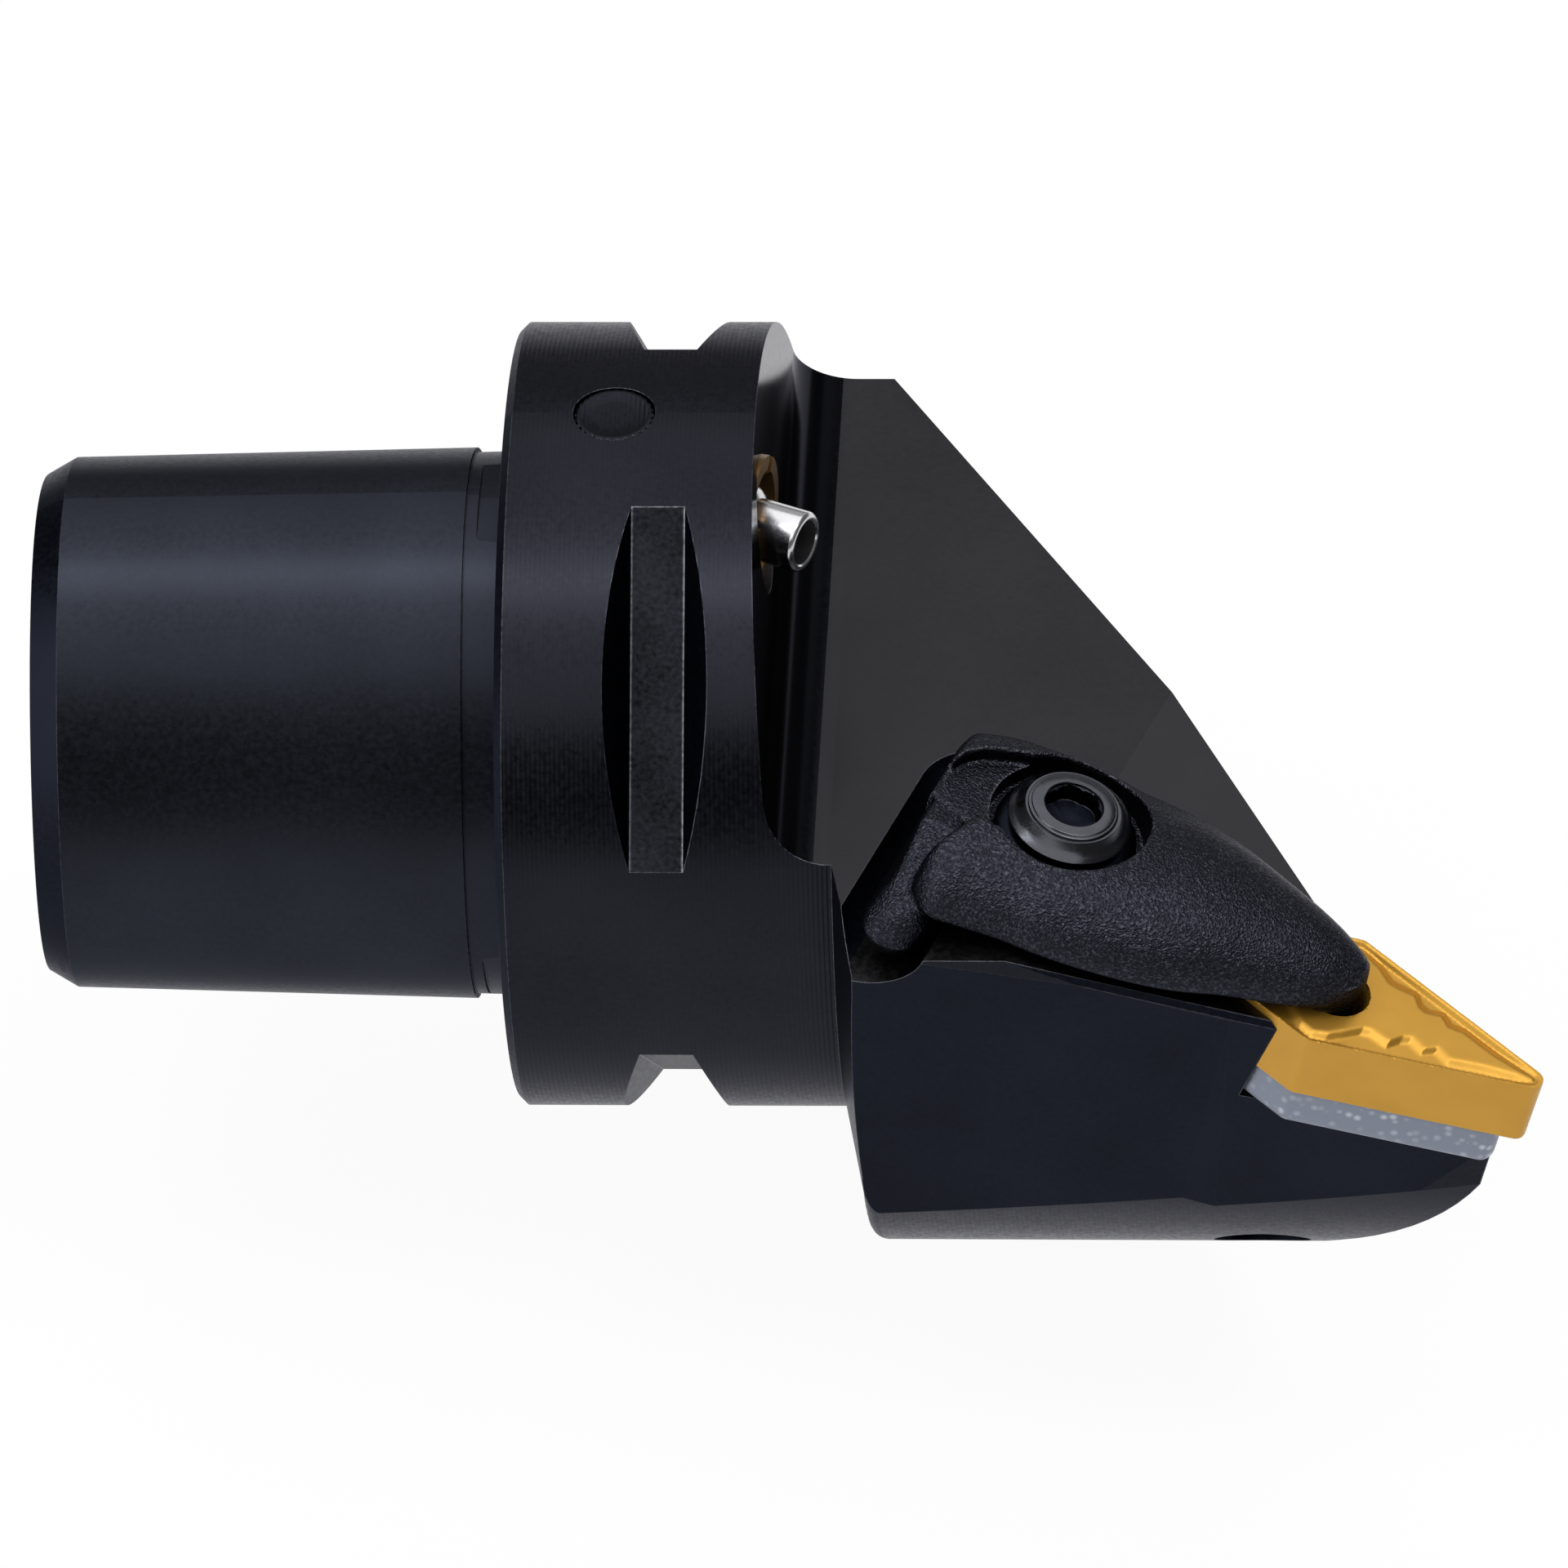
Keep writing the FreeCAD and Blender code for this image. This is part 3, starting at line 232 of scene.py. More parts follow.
def dual_contour(shape: Field3, low: Point3, high: Point3, step: float) -> Tuple[Array, Array]:
    """Mesh the zero surface of a field with quads that keep its sharp edges.

    Args:
        shape: The field, negative inside.
        low: Lowest corner of the box that holds the shape, in millimetres.
        high: Highest corner of that box.
        step: Grid spacing in millimetres.

    Returns:
        The vertices and the quads.
    """
    axes = [np.arange(low[i], high[i] + step, step) for i in range(3)]
    counts = [len(axis) for axis in axes]
    x, y, z = np.meshgrid(*axes, indexing="ij")
    value = shape(x, y, z)
    origin = np.array([axis[0] for axis in axes])
    strides = np.array([counts[1] * counts[2], counts[2], 1])
    cells, points, quads = [], [], []
    for axis in range(3):
        first, second = (axis + 1) % 3, (axis + 2) % 3
        here = [slice(None)] * 3
        there = [slice(None)] * 3
        here[axis], there[axis] = slice(0, -1), slice(1, None)
        a, b = value[tuple(here)], value[tuple(there)]
        edge = np.argwhere((a < 0) != (b < 0))
        va, vb = a[tuple(edge.T)], b[tuple(edge.T)]
        crossing = origin + edge * step
        crossing[:, axis] += step * va / (va - vb)
        around = []
        for du, dv in ((0, 0), (-1, 0), (-1, -1), (0, -1)):
            cell = edge.copy()
            cell[:, first] += du
            cell[:, second] += dv
            around.append(cell @ strides)
            cells.append(around[-1])
            points.append(crossing)
        ring = np.stack(around, 1)
        ring[va >= 0] = ring[va >= 0][:, ::-1]
        quads.append(ring)
    cell_ids, point = np.concatenate(cells), np.concatenate(points)
    reach = step * 0.25
    normal = np.stack([shape(*(point + reach * unit).T) - shape(*(point - reach * unit).T)
                       for unit in np.eye(3)], 1)
    normal /= np.maximum(np.linalg.norm(normal, axis=1, keepdims=True), 1e-9)
    used, inverse = np.unique(cell_ids, return_inverse=True)
    total = np.zeros(len(used))
    mass = np.zeros((len(used), 3))
    np.add.at(total, inverse, 1.0)
    np.add.at(mass, inverse, point)
    mass /= total[:, None]
    offset = np.einsum("ij,ij->i", normal, point - mass[inverse])
    spread = np.zeros((len(used), 3, 3))
    pull = np.zeros((len(used), 3))
    np.add.at(spread, inverse, normal[:, :, None] * normal[:, None, :])
    np.add.at(pull, inverse, normal * offset[:, None])
    shift = np.linalg.solve(spread + 0.05 * np.eye(3), pull[:, :, None])[:, :, 0]
    shift = np.clip(shift, -0.7 * step, 0.7 * step)
    faces = np.searchsorted(used, np.concatenate(quads))
    return mass + shift, faces


# Meshes


def make_piece(name: str, vertices: Sequence, faces: Sequence, axes: Optional[Axes] = None) -> bpy.types.Object:
    """Return an object at the origin with a mesh in metres.

    Args:
        name: The piece's name.
        vertices: Points in millimetres, in the frame's local axes.
        faces: Vertex indices of each face.
        axes: The local frame, or none for the global one.

    Returns:
        The linked object.
    """
    mesh = bpy.data.meshes.new(name)
    mesh.from_pydata([tuple(map(float, v)) for v in vertices], [], [tuple(map(int, f)) for f in faces])
    mesh.transform(axes.matrix() if axes else Matrix.Scale(MM, 4))
    mesh.validate()
    return link_mesh(name, mesh)


def link_mesh(name: str, mesh: bpy.types.Mesh) -> bpy.types.Object:
    """Return a linked object for a mesh, smooth-shaded up to its sharp edges."""
    mesh.shade_smooth()
    mesh.set_sharp_from_angle(angle=SHARP_EDGE)
    piece = bpy.data.objects.new(name, mesh)
    bpy.context.scene.collection.objects.link(piece)
    return piece


def contour_piece(name: str, shape: Field3, low: Point3, high: Point3, step: float) -> bpy.types.Object:
    """Return a piece meshed from a field in the pocket frame."""
    vertices, faces = dual_contour(shape, low, high, step)
    return make_piece(name, vertices, faces, POCKET)


Radius = Callable[[float], float]


@dataclass(frozen=True)
class Ring:
    """One ring of a turned shape: its height and its radius at each angle."""

    height: float
    radius: float
    shape: Optional[Radius] = None

    def reach(self, angle: float) -> float:
        """Return the ring's radius at an angle."""
        return self.shape(angle) if self.shape else self.radius


def turned_piece(name: str, rings: Sequence[Ring], axes: Axes, segments: int = 96, closed: bool = False,
                 ) -> bpy.types.Object:
    """Return a turned piece skinned over rings about a frame's third axis.

    Args:
        name: The piece's name.
        rings: The rings in order. A ring of radius zero is one point.
        axes: The frame the piece turns about.
        segments: Faces round the piece.
        closed: Whether the last ring joins the first one, as in a washer.

    Returns:
        The piece, with its faces pointing outwards.
    """
    bm = bmesh.new()
    loops: List[List[bmesh.types.BMVert]] = []
    for ring in rings:
        if ring.radius == 0.0 and ring.shape is None:
            loops.append([bm.verts.new((0.0, 0.0, ring.height))])
            continue
        loop = []
        for index in range(segments):
            angle = 2 * math.pi * index / segments
            reach = ring.reach(angle)
            loop.append(bm.verts.new((reach * math.cos(angle), reach * math.sin(angle), ring.height)))
        loops.append(loop)
    pairs = list(zip(loops, loops[1:]))
    if closed:
        pairs.append((loops[-1], loops[0]))
    for low, high in pairs:
        for index in range(segments):
            following = (index + 1) % segments
            if len(low) == 1 and len(high) == 1:
                continue
            if len(low) == 1:
                bm.faces.new((low[0], high[following], high[index]))
            elif len(high) == 1:
                bm.faces.new((low[index], low[following], high[0]))
            else:
                bm.faces.new((low[index], low[following], high[following], high[index]))
    bmesh.ops.recalc_face_normals(bm, faces=bm.faces)
    mesh = bpy.data.meshes.new(name)
    bm.to_mesh(mesh)
    bm.free()
    mesh.transform(axes.matrix())
    return link_mesh(name, mesh)


def solid_copy(name: str, node: bpy.types.Object) -> bpy.types.Object:
    """Return a copy of a CAD node's mesh, with the exact surface normals that it carries.

    Args:
        name: The new piece's name.
        node: The CAD node's object.

    Returns:
        The new piece.
    """
    mesh = node.data.copy()
    mesh.name = name
    piece = bpy.data.objects.new(name, mesh)
    bpy.context.scene.collection.objects.link(piece)
    return piece


# Geometry nodes


def add_node(tree: bpy.types.NodeTree, kind: str, inputs: Optional[Dict] = None, **settings) -> bpy.types.Node:
    """Add a node with its settings, input values and links.

    Args:
        tree: The tree to write in.
        kind: The node's type name.
        inputs: Socket name or index to a value or another node's output socket.
        settings: Attributes of the node.

    Returns:
        The new node.
    """
    made = tree.nodes.new(kind)
    for key, value in settings.items():
        setattr(made, key, value)
    for key, value in (inputs or {}).items():
        socket = made.inputs[key]
        if isinstance(value, bpy.types.NodeSocket):
            tree.links.new(value, socket)
        else:
            socket.default_value = value
    return made


class SocketKind(Enum):
    """Kinds of group input used by the geometry trees."""

    FLOAT = "NodeSocketFloat"
    WHOLE = "NodeSocketInt"
    MATERIAL = "NodeSocketMaterial"


def geometry_group(name: str, sockets: Dict[str, SocketKind]) -> Tuple[bpy.types.NodeTree, bpy.types.Node]:
    """Start a geometry node group with named inputs.

    Args:
        name: The group's name.
        sockets: Input name to its kind.

    Returns:
        The group and its input node.
    """
    tree = bpy.data.node_groups.new(name, "GeometryNodeTree")
    tree.interface.new_socket("Geometry", in_out="OUTPUT", socket_type="NodeSocketGeometry")
    for label, kind in sockets.items():
        tree.interface.new_socket(label, in_out="INPUT", socket_type=kind.value)
    return tree, tree.nodes.new("NodeGroupInput")


def run_geometry(name: str, tree: bpy.types.NodeTree, values: Dict, axes: Axes) -> bpy.types.Object:
    """Run a geometry node group and return its result as a plain mesh piece.

    Args:
        name: The piece's name.
        tree: The node group.
        values: Input name to value.
        axes: The frame in which the group builds, in millimetres.

    Returns:
        The piece, with no modifier left on it.
    """
    holder = bpy.data.objects.new(name + "_maker", bpy.data.meshes.new(name + "_maker"))
    bpy.context.scene.collection.objects.link(holder)
    modifier = holder.modifiers.new("maker", "NODES")
    modifier.node_group = tree
    for item in tree.interface.items_tree:
        if item.item_type == "SOCKET" and item.in_out == "INPUT" and item.name in values:
            modifier[item.identifier] = values[item.name]
    graph = bpy.context.evaluated_depsgraph_get()
    graph.update()
    mesh = bpy.data.meshes.new_from_object(holder.evaluated_get(graph), depsgraph=graph)
    holder.modifiers.remove(modifier)
    bpy.data.objects.remove(holder)
    mesh.name = name
    mesh.transform(axes.matrix())
    return link_mesh(name, mesh)


def helix_group() -> bpy.types.NodeTree:
    """Return the group that sweeps a wire or a thread ridge along a helix."""
    tree, source = geometry_group("swept_helix", {
        "Helix Radius": SocketKind.FLOAT, "Pitch": SocketKind.FLOAT, "Turns": SocketKind.FLOAT,
        "Wire Radius": SocketKind.FLOAT, "Wire Sides": SocketKind.WHOLE, "Start": SocketKind.FLOAT,
        "Shift": SocketKind.FLOAT, "Finish": SocketKind.MATERIAL})
    height = add_node(tree, "ShaderNodeMath", {0: source.outputs["Pitch"], 1: source.outputs["Turns"]},
                      operation="MULTIPLY")
    spiral = add_node(tree, "GeometryNodeCurveSpiral", {
        "Resolution": 48, "Rotations": source.outputs["Turns"], "Start Radius": source.outputs["Helix Radius"],
        "End Radius": source.outputs["Helix Radius"], "Height": height.outputs[0]})
    upright = add_node(tree, "GeometryNodeSetCurveNormal", {"Curve": spiral.outputs[0]}, mode="Z_UP")
    wire = add_node(tree, "GeometryNodeCurvePrimitiveCircle", {
        "Resolution": source.outputs["Wire Sides"], "Radius": source.outputs["Wire Radius"]})
    sweep = add_node(tree, "GeometryNodeCurveToMesh", {
        "Curve": upright.outputs[0], "Profile Curve": wire.outputs[0], "Fill Caps": True})
    rise = add_node(tree, "ShaderNodeCombineXYZ", {"Z": source.outputs["Start"], "X": source.outputs["Shift"]})
    moved = add_node(tree, "GeometryNodeTransform", {"Geometry": sweep.outputs[0], "Translation": rise.outputs[0]})
    real = add_node(tree, "GeometryNodeRealizeInstances", {"Geometry": moved.outputs[0]})
    dressed = add_node(tree, "GeometryNodeSetMaterial", {
        "Geometry": real.outputs[0], "Material": source.outputs["Finish"]})
    add_node(tree, "NodeGroupOutput", {0: dressed.outputs[0]})
    return tree


# Finishes


def linear(hex_colour: str) -> Tuple[float, float, float, float]:
    """Return an sRGB hex colour as linear red, green, blue and alpha."""
    parts = [int(hex_colour[i:i + 2], 16) / 255.0 for i in (1, 3, 5)]
    return tuple(p / 12.92 if p <= 0.04045 else ((p + 0.055) / 1.055) ** 2.4 for p in parts) + (1.0,)


def per_mm(size_mm: float) -> float:
    """Return the pattern scale, in cycles per metre, of a feature this many millimetres long."""
    return 1.0 / (size_mm * MM)


@dataclass(frozen=True)
class Finish(ABC):
    """A finish: what the surface is and how it was made."""

    name: str
    colour: str
    roughness: float
    metallic: float
    edge_tint: str = "#ffffff"

    def build(self) -> bpy.types.Material:
        """Return the finish's material."""
        material = bpy.data.materials.new(self.name)
        material.use_nodes = True
        tree = material.node_tree
        tree.nodes.clear()
        shader = add_node(tree, "ShaderNodeBsdfPrincipled", {
            "Base Color": linear(self.colour), "Roughness": self.roughness, "Metallic": self.metallic,
            "Specular Tint": linear(self.edge_tint)})
        place = add_node(tree, "ShaderNodeTexCoord").outputs["Object"]
        self.pattern(tree, shader, place)
        add_node(tree, "ShaderNodeOutputMaterial", {"Surface": shader.outputs[0]})
        return material

    @abstractmethod
    def pattern(self, tree: bpy.types.NodeTree, shader: bpy.types.Node, place: bpy.types.NodeSocket) -> None:
        """Write the finish's pattern into the tree.

        Args:
            tree: The material's tree.
            shader: The principled shader.
            place: Object coordinates.
        """


def vary(tree: bpy.types.NodeTree, factor: bpy.types.NodeSocket, low: float, high: float) -> bpy.types.NodeSocket:
    """Return a factor mapped from 0..1 to low..high."""
    return add_node(tree, "ShaderNodeMapRange", {
        "Value": factor, "From Min": 0.25, "From Max": 0.75, "To Min": low, "To Max": high}).outputs[0]


def tint(tree: bpy.types.NodeTree, factor: bpy.types.NodeSocket, first: str, second: str) -> bpy.types.NodeSocket:
    """Return a colour between two hex colours by a factor."""
    return add_node(tree, "ShaderNodeMix", {"Factor": factor, 6: linear(first), 7: linear(second)},
                    data_type="RGBA").outputs[2]


def edge_wear_and_highlight(tree: bpy.types.NodeTree, rounded: bpy.types.NodeSocket, grain: bpy.types.NodeSocket,
              ) -> bpy.types.NodeSocket:
    """Return a mask that is 1 along sharp edges, convex and concave alike: partly oxide rubbed off the edges, partly
    a painted highlight where edges catch the light.

    Args:
        tree: The material's tree.
        rounded: The normal with rounded edges.
        grain: A fine noise that breaks the line up.

    Returns:
        The mask's socket.
    """
    flat = add_node(tree, "ShaderNodeNewGeometry").outputs["Normal"]
    turn = add_node(tree, "ShaderNodeVectorMath", {0: flat, 1: rounded}, operation="DOT_PRODUCT")
    edge = add_node(tree, "ShaderNodeMapRange", {
        "Value": turn.outputs["Value"], "From Min": 0.995, "From Max": 0.93, "To Min": 0.0, "To Max": 1.0})
    patchy = add_node(tree, "ShaderNodeMapRange", {
        "Value": grain, "From Min": 0.35, "From Max": 0.6, "To Min": 0.35, "To Max": 1.0})
    mask = add_node(tree, "ShaderNodeMath", {0: edge.outputs[0], 1: patchy.outputs[0]}, operation="MULTIPLY")
    return mask.outputs[0]


@dataclass(frozen=True)
class MachinedOxide(Finish):
    """Black oxide on machined steel: dark, thin, satin, with the tool's marks showing through."""

    edge_tint: str = "#d2d2d6"
    second: str = "#15161a"
    line_pitch: float = 0.25
    line_depth: float = 0.004
    line_axis: Optional[str] = "X"
    grain: float = 0.35
    grain_depth: float = 0.003
    spread: float = 0.08
    edge_r: float = 0.09
    worn_and_highlight: str = "#62626a"

    def pattern(self, tree: bpy.types.NodeTree, shader: bpy.types.Node, place: bpy.types.NodeSocket) -> None:
        """Write tool marks, grain and slow shade changes into the tree."""
        cloud = add_node(tree, "ShaderNodeTexNoise", {"Vector": place, "Scale": per_mm(9.0), "Detail": 3.0})
        speck = add_node(tree, "ShaderNodeTexNoise", {"Vector": place, "Scale": per_mm(self.grain), "Detail": 4.0})
        mixed = add_node(tree, "ShaderNodeMath", {0: cloud.outputs[0], 1: speck.outputs[0]}, operation="ADD")
        half = add_node(tree, "ShaderNodeMath", {0: mixed.outputs[0], 1: 0.5}, operation="MULTIPLY")
        shade = add_node(tree, "ShaderNodeMapRange", {
            "Value": half.outputs[0], "From Min": 0.35, "From Max": 0.65, "To Min": 0.0, "To Max": 1.0})
        oxide = tint(tree, shade.outputs[0], self.colour, self.second)
        rounded = add_node(tree, "ShaderNodeBevel", {"Radius": self.edge_r * MM}, samples=6)
        # edge colour: oxide rubbed off the edges, and a painted highlight along them, concave corners included
        wear_and_highlight = edge_wear_and_highlight(tree, rounded.outputs[0], speck.outputs[0])
        worn_and_highlight = add_node(tree, "ShaderNodeMix", {"Factor": wear_and_highlight, 6: oxide, 7: linear(self.worn_and_highlight)}, data_type="RGBA")
        tree.links.new(worn_and_highlight.outputs[2], shader.inputs["Base Color"])
        rough = vary(tree, speck.outputs[0], self.roughness - self.spread, self.roughness + self.spread)
        tree.links.new(rough, shader.inputs["Roughness"])
        bump = add_node(tree, "ShaderNodeBump", {
            "Height": speck.outputs[0], "Distance": self.grain_depth * MM, "Strength": 1.0,
            "Normal": rounded.outputs[0]})
        if self.line_axis:
            lines = add_node(tree, "ShaderNodeTexWave", {
                "Vector": place, "Scale": per_mm(self.line_pitch) * math.pi / 10,
                "Distortion": 0.6, "Detail": 2.0, "Detail Scale": 2.0},
                wave_type="BANDS", bands_direction=self.line_axis)
            bump = add_node(tree, "ShaderNodeBump", {
                "Height": lines.outputs["Fac"], "Distance": self.line_depth * MM, "Strength": 1.0,
                "Normal": bump.outputs[0]})
        tree.links.new(bump.outputs[0], shader.inputs["Normal"])


@dataclass(frozen=True)
class BlastedOxide(Finish):
    """Black oxide on bead-blasted steel: tiny craters that sparkle where they catch the light."""

    edge_tint: str = "#d2d2d6"
    second: str = "#40414b"
    worn_and_highlight: str = "#5c5c64"
    crater: float = 0.14
    depth: float = 0.05
    edge_r: float = 0.35

    def pattern(self, tree: bpy.types.NodeTree, shader: bpy.types.Node, place: bpy.types.NodeSocket) -> None:
        """Write craters, uneven oxide with lighter speckles painted as glints, and worn edges with a painted edge
        highlight into the tree.
        """
        # real craters are 0.05 to 0.1 mm, drawn coarser so that they show
        craters = add_node(tree, "ShaderNodeTexVoronoi", {"Vector": place, "Scale": per_mm(self.crater)})
        grain = add_node(tree, "ShaderNodeTexNoise", {
            "Vector": place, "Scale": per_mm(self.crater * 1.5), "Detail": 4.0})
        # lighter speckles mixed into the oxide's colour: painted glints
        sparkle = add_node(tree, "ShaderNodeMapRange", {
            "Value": grain.outputs[0], "From Min": 0.46, "From Max": 0.72, "To Min": 0.0, "To Max": 1.0})
        oxide = tint(tree, sparkle.outputs[0], self.colour, self.second)
        rounded = add_node(tree, "ShaderNodeBevel", {"Radius": self.edge_r * MM}, samples=6)
        # edge colour: oxide rubbed off the edges, and a painted highlight along them, concave corners included
        wear_and_highlight = edge_wear_and_highlight(tree, rounded.outputs[0], grain.outputs[0])
        worn_and_highlight = add_node(tree, "ShaderNodeMix", {"Factor": wear_and_highlight, 6: oxide, 7: linear(self.worn_and_highlight)}, data_type="RGBA")
        tree.links.new(worn_and_highlight.outputs[2], shader.inputs["Base Color"])
        tree.links.new(vary(tree, grain.outputs[0], self.roughness + 0.12, self.roughness - 0.12),
                       shader.inputs["Roughness"])
        mixed = add_node(tree, "ShaderNodeMath", {
            0: craters.outputs["Distance"], 1: grain.outputs[0]}, operation="ADD")
        bump = add_node(tree, "ShaderNodeBump", {
            "Height": mixed.outputs[0], "Distance": self.depth * MM, "Strength": 1.0})
        tree.links.new(bump.outputs[0], shader.inputs["Normal"])


@dataclass(frozen=True)
class CoatedCarbide(Finish):
    """Gold vapour-deposited coating on carbide: satin, even, with a faint pressed texture."""

    second: str = "#b5862e"
    depth: float = 0.003

    def pattern(self, tree: bpy.types.NodeTree, shader: bpy.types.Node, place: bpy.types.NodeSocket) -> None:
        """Write a fine pressed grain and slow colour drift into the tree."""
        cloud = add_node(tree, "ShaderNodeTexNoise", {"Vector": place, "Scale": per_mm(3.0), "Detail": 2.0})
        grain = add_node(tree, "ShaderNodeTexNoise", {"Vector": place, "Scale": per_mm(0.12), "Detail": 3.0})
        tree.links.new(tint(tree, cloud.outputs[0], self.colour, self.second), shader.inputs["Base Color"])
        tree.links.new(vary(tree, grain.outputs[0], self.roughness - 0.06, self.roughness + 0.06),
                       shader.inputs["Roughness"])
        bump = add_node(tree, "ShaderNodeBump", {
            "Height": grain.outputs[0], "Distance": self.depth * MM, "Strength": 1.0})
        tree.links.new(bump.outputs[0], shader.inputs["Normal"])


@dataclass(frozen=True)
class GroundCarbide(Finish):
    """Sintered carbide with a light grind: grey-blue, with pale specks of binder."""

    second: str = "#bcc1cc"
    spacing: float = 0.72
    dot_r: float = 0.2

    def pattern(self, tree: bpy.types.NodeTree, shader: bpy.types.Node, place: bpy.types.NodeSocket) -> None:
        """Write soft pale dots, in patches, and a fine grain into the tree."""
        cells = add_node(tree, "ShaderNodeTexVoronoi", {"Vector": place, "Scale": per_mm(self.spacing)})
        dots = add_node(tree, "ShaderNodeMapRange", {
            "Value": cells.outputs["Distance"], "From Min": 0.5 * self.dot_r / self.spacing,
            "From Max": 1.5 * self.dot_r / self.spacing, "To Min": 0.8, "To Max": 0.0})
        patch = add_node(tree, "ShaderNodeTexNoise", {"Vector": place, "Scale": per_mm(3.0), "Detail": 2.0})
        here = add_node(tree, "ShaderNodeMapRange", {
            "Value": patch.outputs[0], "From Min": 0.42, "From Max": 0.6, "To Min": 0.3, "To Max": 1.0})
        spots = add_node(tree, "ShaderNodeMath", {0: dots.outputs[0], 1: here.outputs[0]}, operation="MULTIPLY")
        tree.links.new(tint(tree, spots.outputs[0], self.colour, self.second), shader.inputs["Base Color"])
        grain = add_node(tree, "ShaderNodeTexNoise", {"Vector": place, "Scale": per_mm(0.1), "Detail": 3.0})
        tree.links.new(vary(tree, grain.outputs[0], self.roughness - 0.08, self.roughness + 0.08),
                       shader.inputs["Roughness"])
        bump = add_node(tree, "ShaderNodeBump", {"Height": grain.outputs[0], "Distance": 0.004 * MM, "Strength": 1.0})
        tree.links.new(bump.outputs[0], shader.inputs["Normal"])


@dataclass(frozen=True)
class TurnedMetal(Finish):
    """Turned bar stock: bright metal with fine circular tool marks."""

    second: str = "#ffffff"
    mark: float = 0.12
    depth: float = 0.003

    def pattern(self, tree: bpy.types.NodeTree, shader: bpy.types.Node, place: bpy.types.NodeSocket) -> None:
        """Write uneven tone and fine marks into the tree."""
        cloud = add_node(tree, "ShaderNodeTexNoise", {"Vector": place, "Scale": per_mm(1.5), "Detail": 4.0})
        tree.links.new(tint(tree, cloud.outputs[0], self.colour, self.second), shader.inputs["Base Color"])
        grain = add_node(tree, "ShaderNodeTexNoise", {"Vector": place, "Scale": per_mm(self.mark), "Detail": 3.0})
        tree.links.new(vary(tree, grain.outputs[0], self.roughness - 0.06, self.roughness + 0.08),
                       shader.inputs["Roughness"])
        bump = add_node(tree, "ShaderNodeBump", {
            "Height": grain.outputs[0], "Distance": self.depth * MM, "Strength": 1.0})
        tree.links.new(bump.outputs[0], shader.inputs["Normal"])


@dataclass(frozen=True)
class MouldedRubber(Finish):
    """Moulded nitrile rubber: dull black with a soft bloom."""

    def pattern(self, tree: bpy.types.NodeTree, shader: bpy.types.Node, place: bpy.types.NodeSocket) -> None:
        """Write a soft bloom into the tree."""
        bloom = add_node(tree, "ShaderNodeTexNoise", {"Vector": place, "Scale": per_mm(0.6), "Detail": 2.0})
        tree.links.new(vary(tree, bloom.outputs[0], self.roughness - 0.1, self.roughness + 0.1),
                       shader.inputs["Roughness"])


@dataclass
class Finishes:
    """The finishes of the holder, built once."""

    turned: bpy.types.Material = field(init=False)
    milled: bpy.types.Material = field(init=False)
    ground: bpy.types.Material = field(init=False)
    groove: bpy.types.Material = field(init=False)
    top_lit_deck: bpy.types.Material = field(init=False)
    scoop: bpy.types.Material = field(init=False)
    blasted: bpy.types.Material = field(init=False)
    screw: bpy.types.Material = field(init=False)
    spring: bpy.types.Material = field(init=False)
    gold: bpy.types.Material = field(init=False)
    carbide: bpy.types.Material = field(init=False)
    bright: bpy.types.Material = field(init=False)
    brass: bpy.types.Material = field(init=False)
    rubber: bpy.types.Material = field(init=False)

    def __post_init__(self) -> None:
        """Build every finish."""
        self.turned = MachinedOxide("black_oxide_turned", "#202127", 0.31, 1.0, second="#27282e",
                                    line_pitch=0.3, line_depth=0.02).build()
        self.milled = MachinedOxide("black_oxide_milled", "#181a22", 0.38, 1.0, second="#1e212b",
                                    line_axis=None).build()
        self.ground = MachinedOxide("black_oxide_ground", "#26282f", 0.35, 1.0, second="#2c2f37",
                                    line_pitch=0.12, line_depth=0.002, spread=0.06, grain_depth=0.003).build()
        # the groove's pale edge colour is a painted highlight along the groove's edges, where its fillets catch the
        # light
        self.groove = MachinedOxide("black_oxide_end_milled", "#101114", 0.42, 1.0, second="#2e2f35", line_axis=None,
                                    grain=0.3, grain_depth=0.01, edge_r=0.22, worn_and_highlight="#b4b4be").build()
        # a lighter, neutral copy of the side oxide for upward faces: painted top light
        self.top_lit_deck = MachinedOxide("black_oxide_face_milled_top_lit", "#333335", 0.36, 1.0, second="#39393b",
                                  line_axis=None).build()
        self.scoop = MachinedOxide("black_oxide_fine_milled", "#16171b", 0.16, 1.0, second="#1b1c20",
                                   line_axis=None, spread=0.03, grain_depth=0.001).build()
        self.blasted = BlastedOxide("black_oxide_blasted", "#24252b", 0.32, 1.0).build()
        self.screw = TurnedMetal("blued_screw_steel", "#434449", 0.2, 1.0, second="#55565c").build()
        self.spring = TurnedMetal("oiled_spring_wire", "#54565c", 0.32, 1.0, second="#6a6c72").build()
        self.gold = CoatedCarbide("gold_coated_carbide", "#c69538", 0.36, 0.65).build()
        self.carbide = GroundCarbide("ground_carbide", "#7b8290", 0.42, 0.5).build()
        self.bright = TurnedMetal("turned_stainless", "#c9c9cc", 0.2, 1.0, second="#e0e0e2").build()
        self.brass = TurnedMetal("dull_turned_brass", "#8a6a3a", 0.34, 1.0, second="#6f5330").build()
        self.rubber = MouldedRubber("moulded_rubber", "#0c0c0d", 0.6, 0.0).build()


def dress(piece: bpy.types.Object, *materials: bpy.types.Material) -> None:
    """Give a piece its materials, in slot order."""
    piece.data.materials.clear()
    for material in materials:
        piece.data.materials.append(material)


# Body


class BodySurface(Enum):
    """The surfaces of the steel body, by how each was made, with upward faces of the head set apart for a painted top
    light.
    """

    MILLED = 0
    TURNED = 1
    GROUND = 2
    GROOVE = 3
    TOP_LIT_DECK = 4
    SCOOP = 5


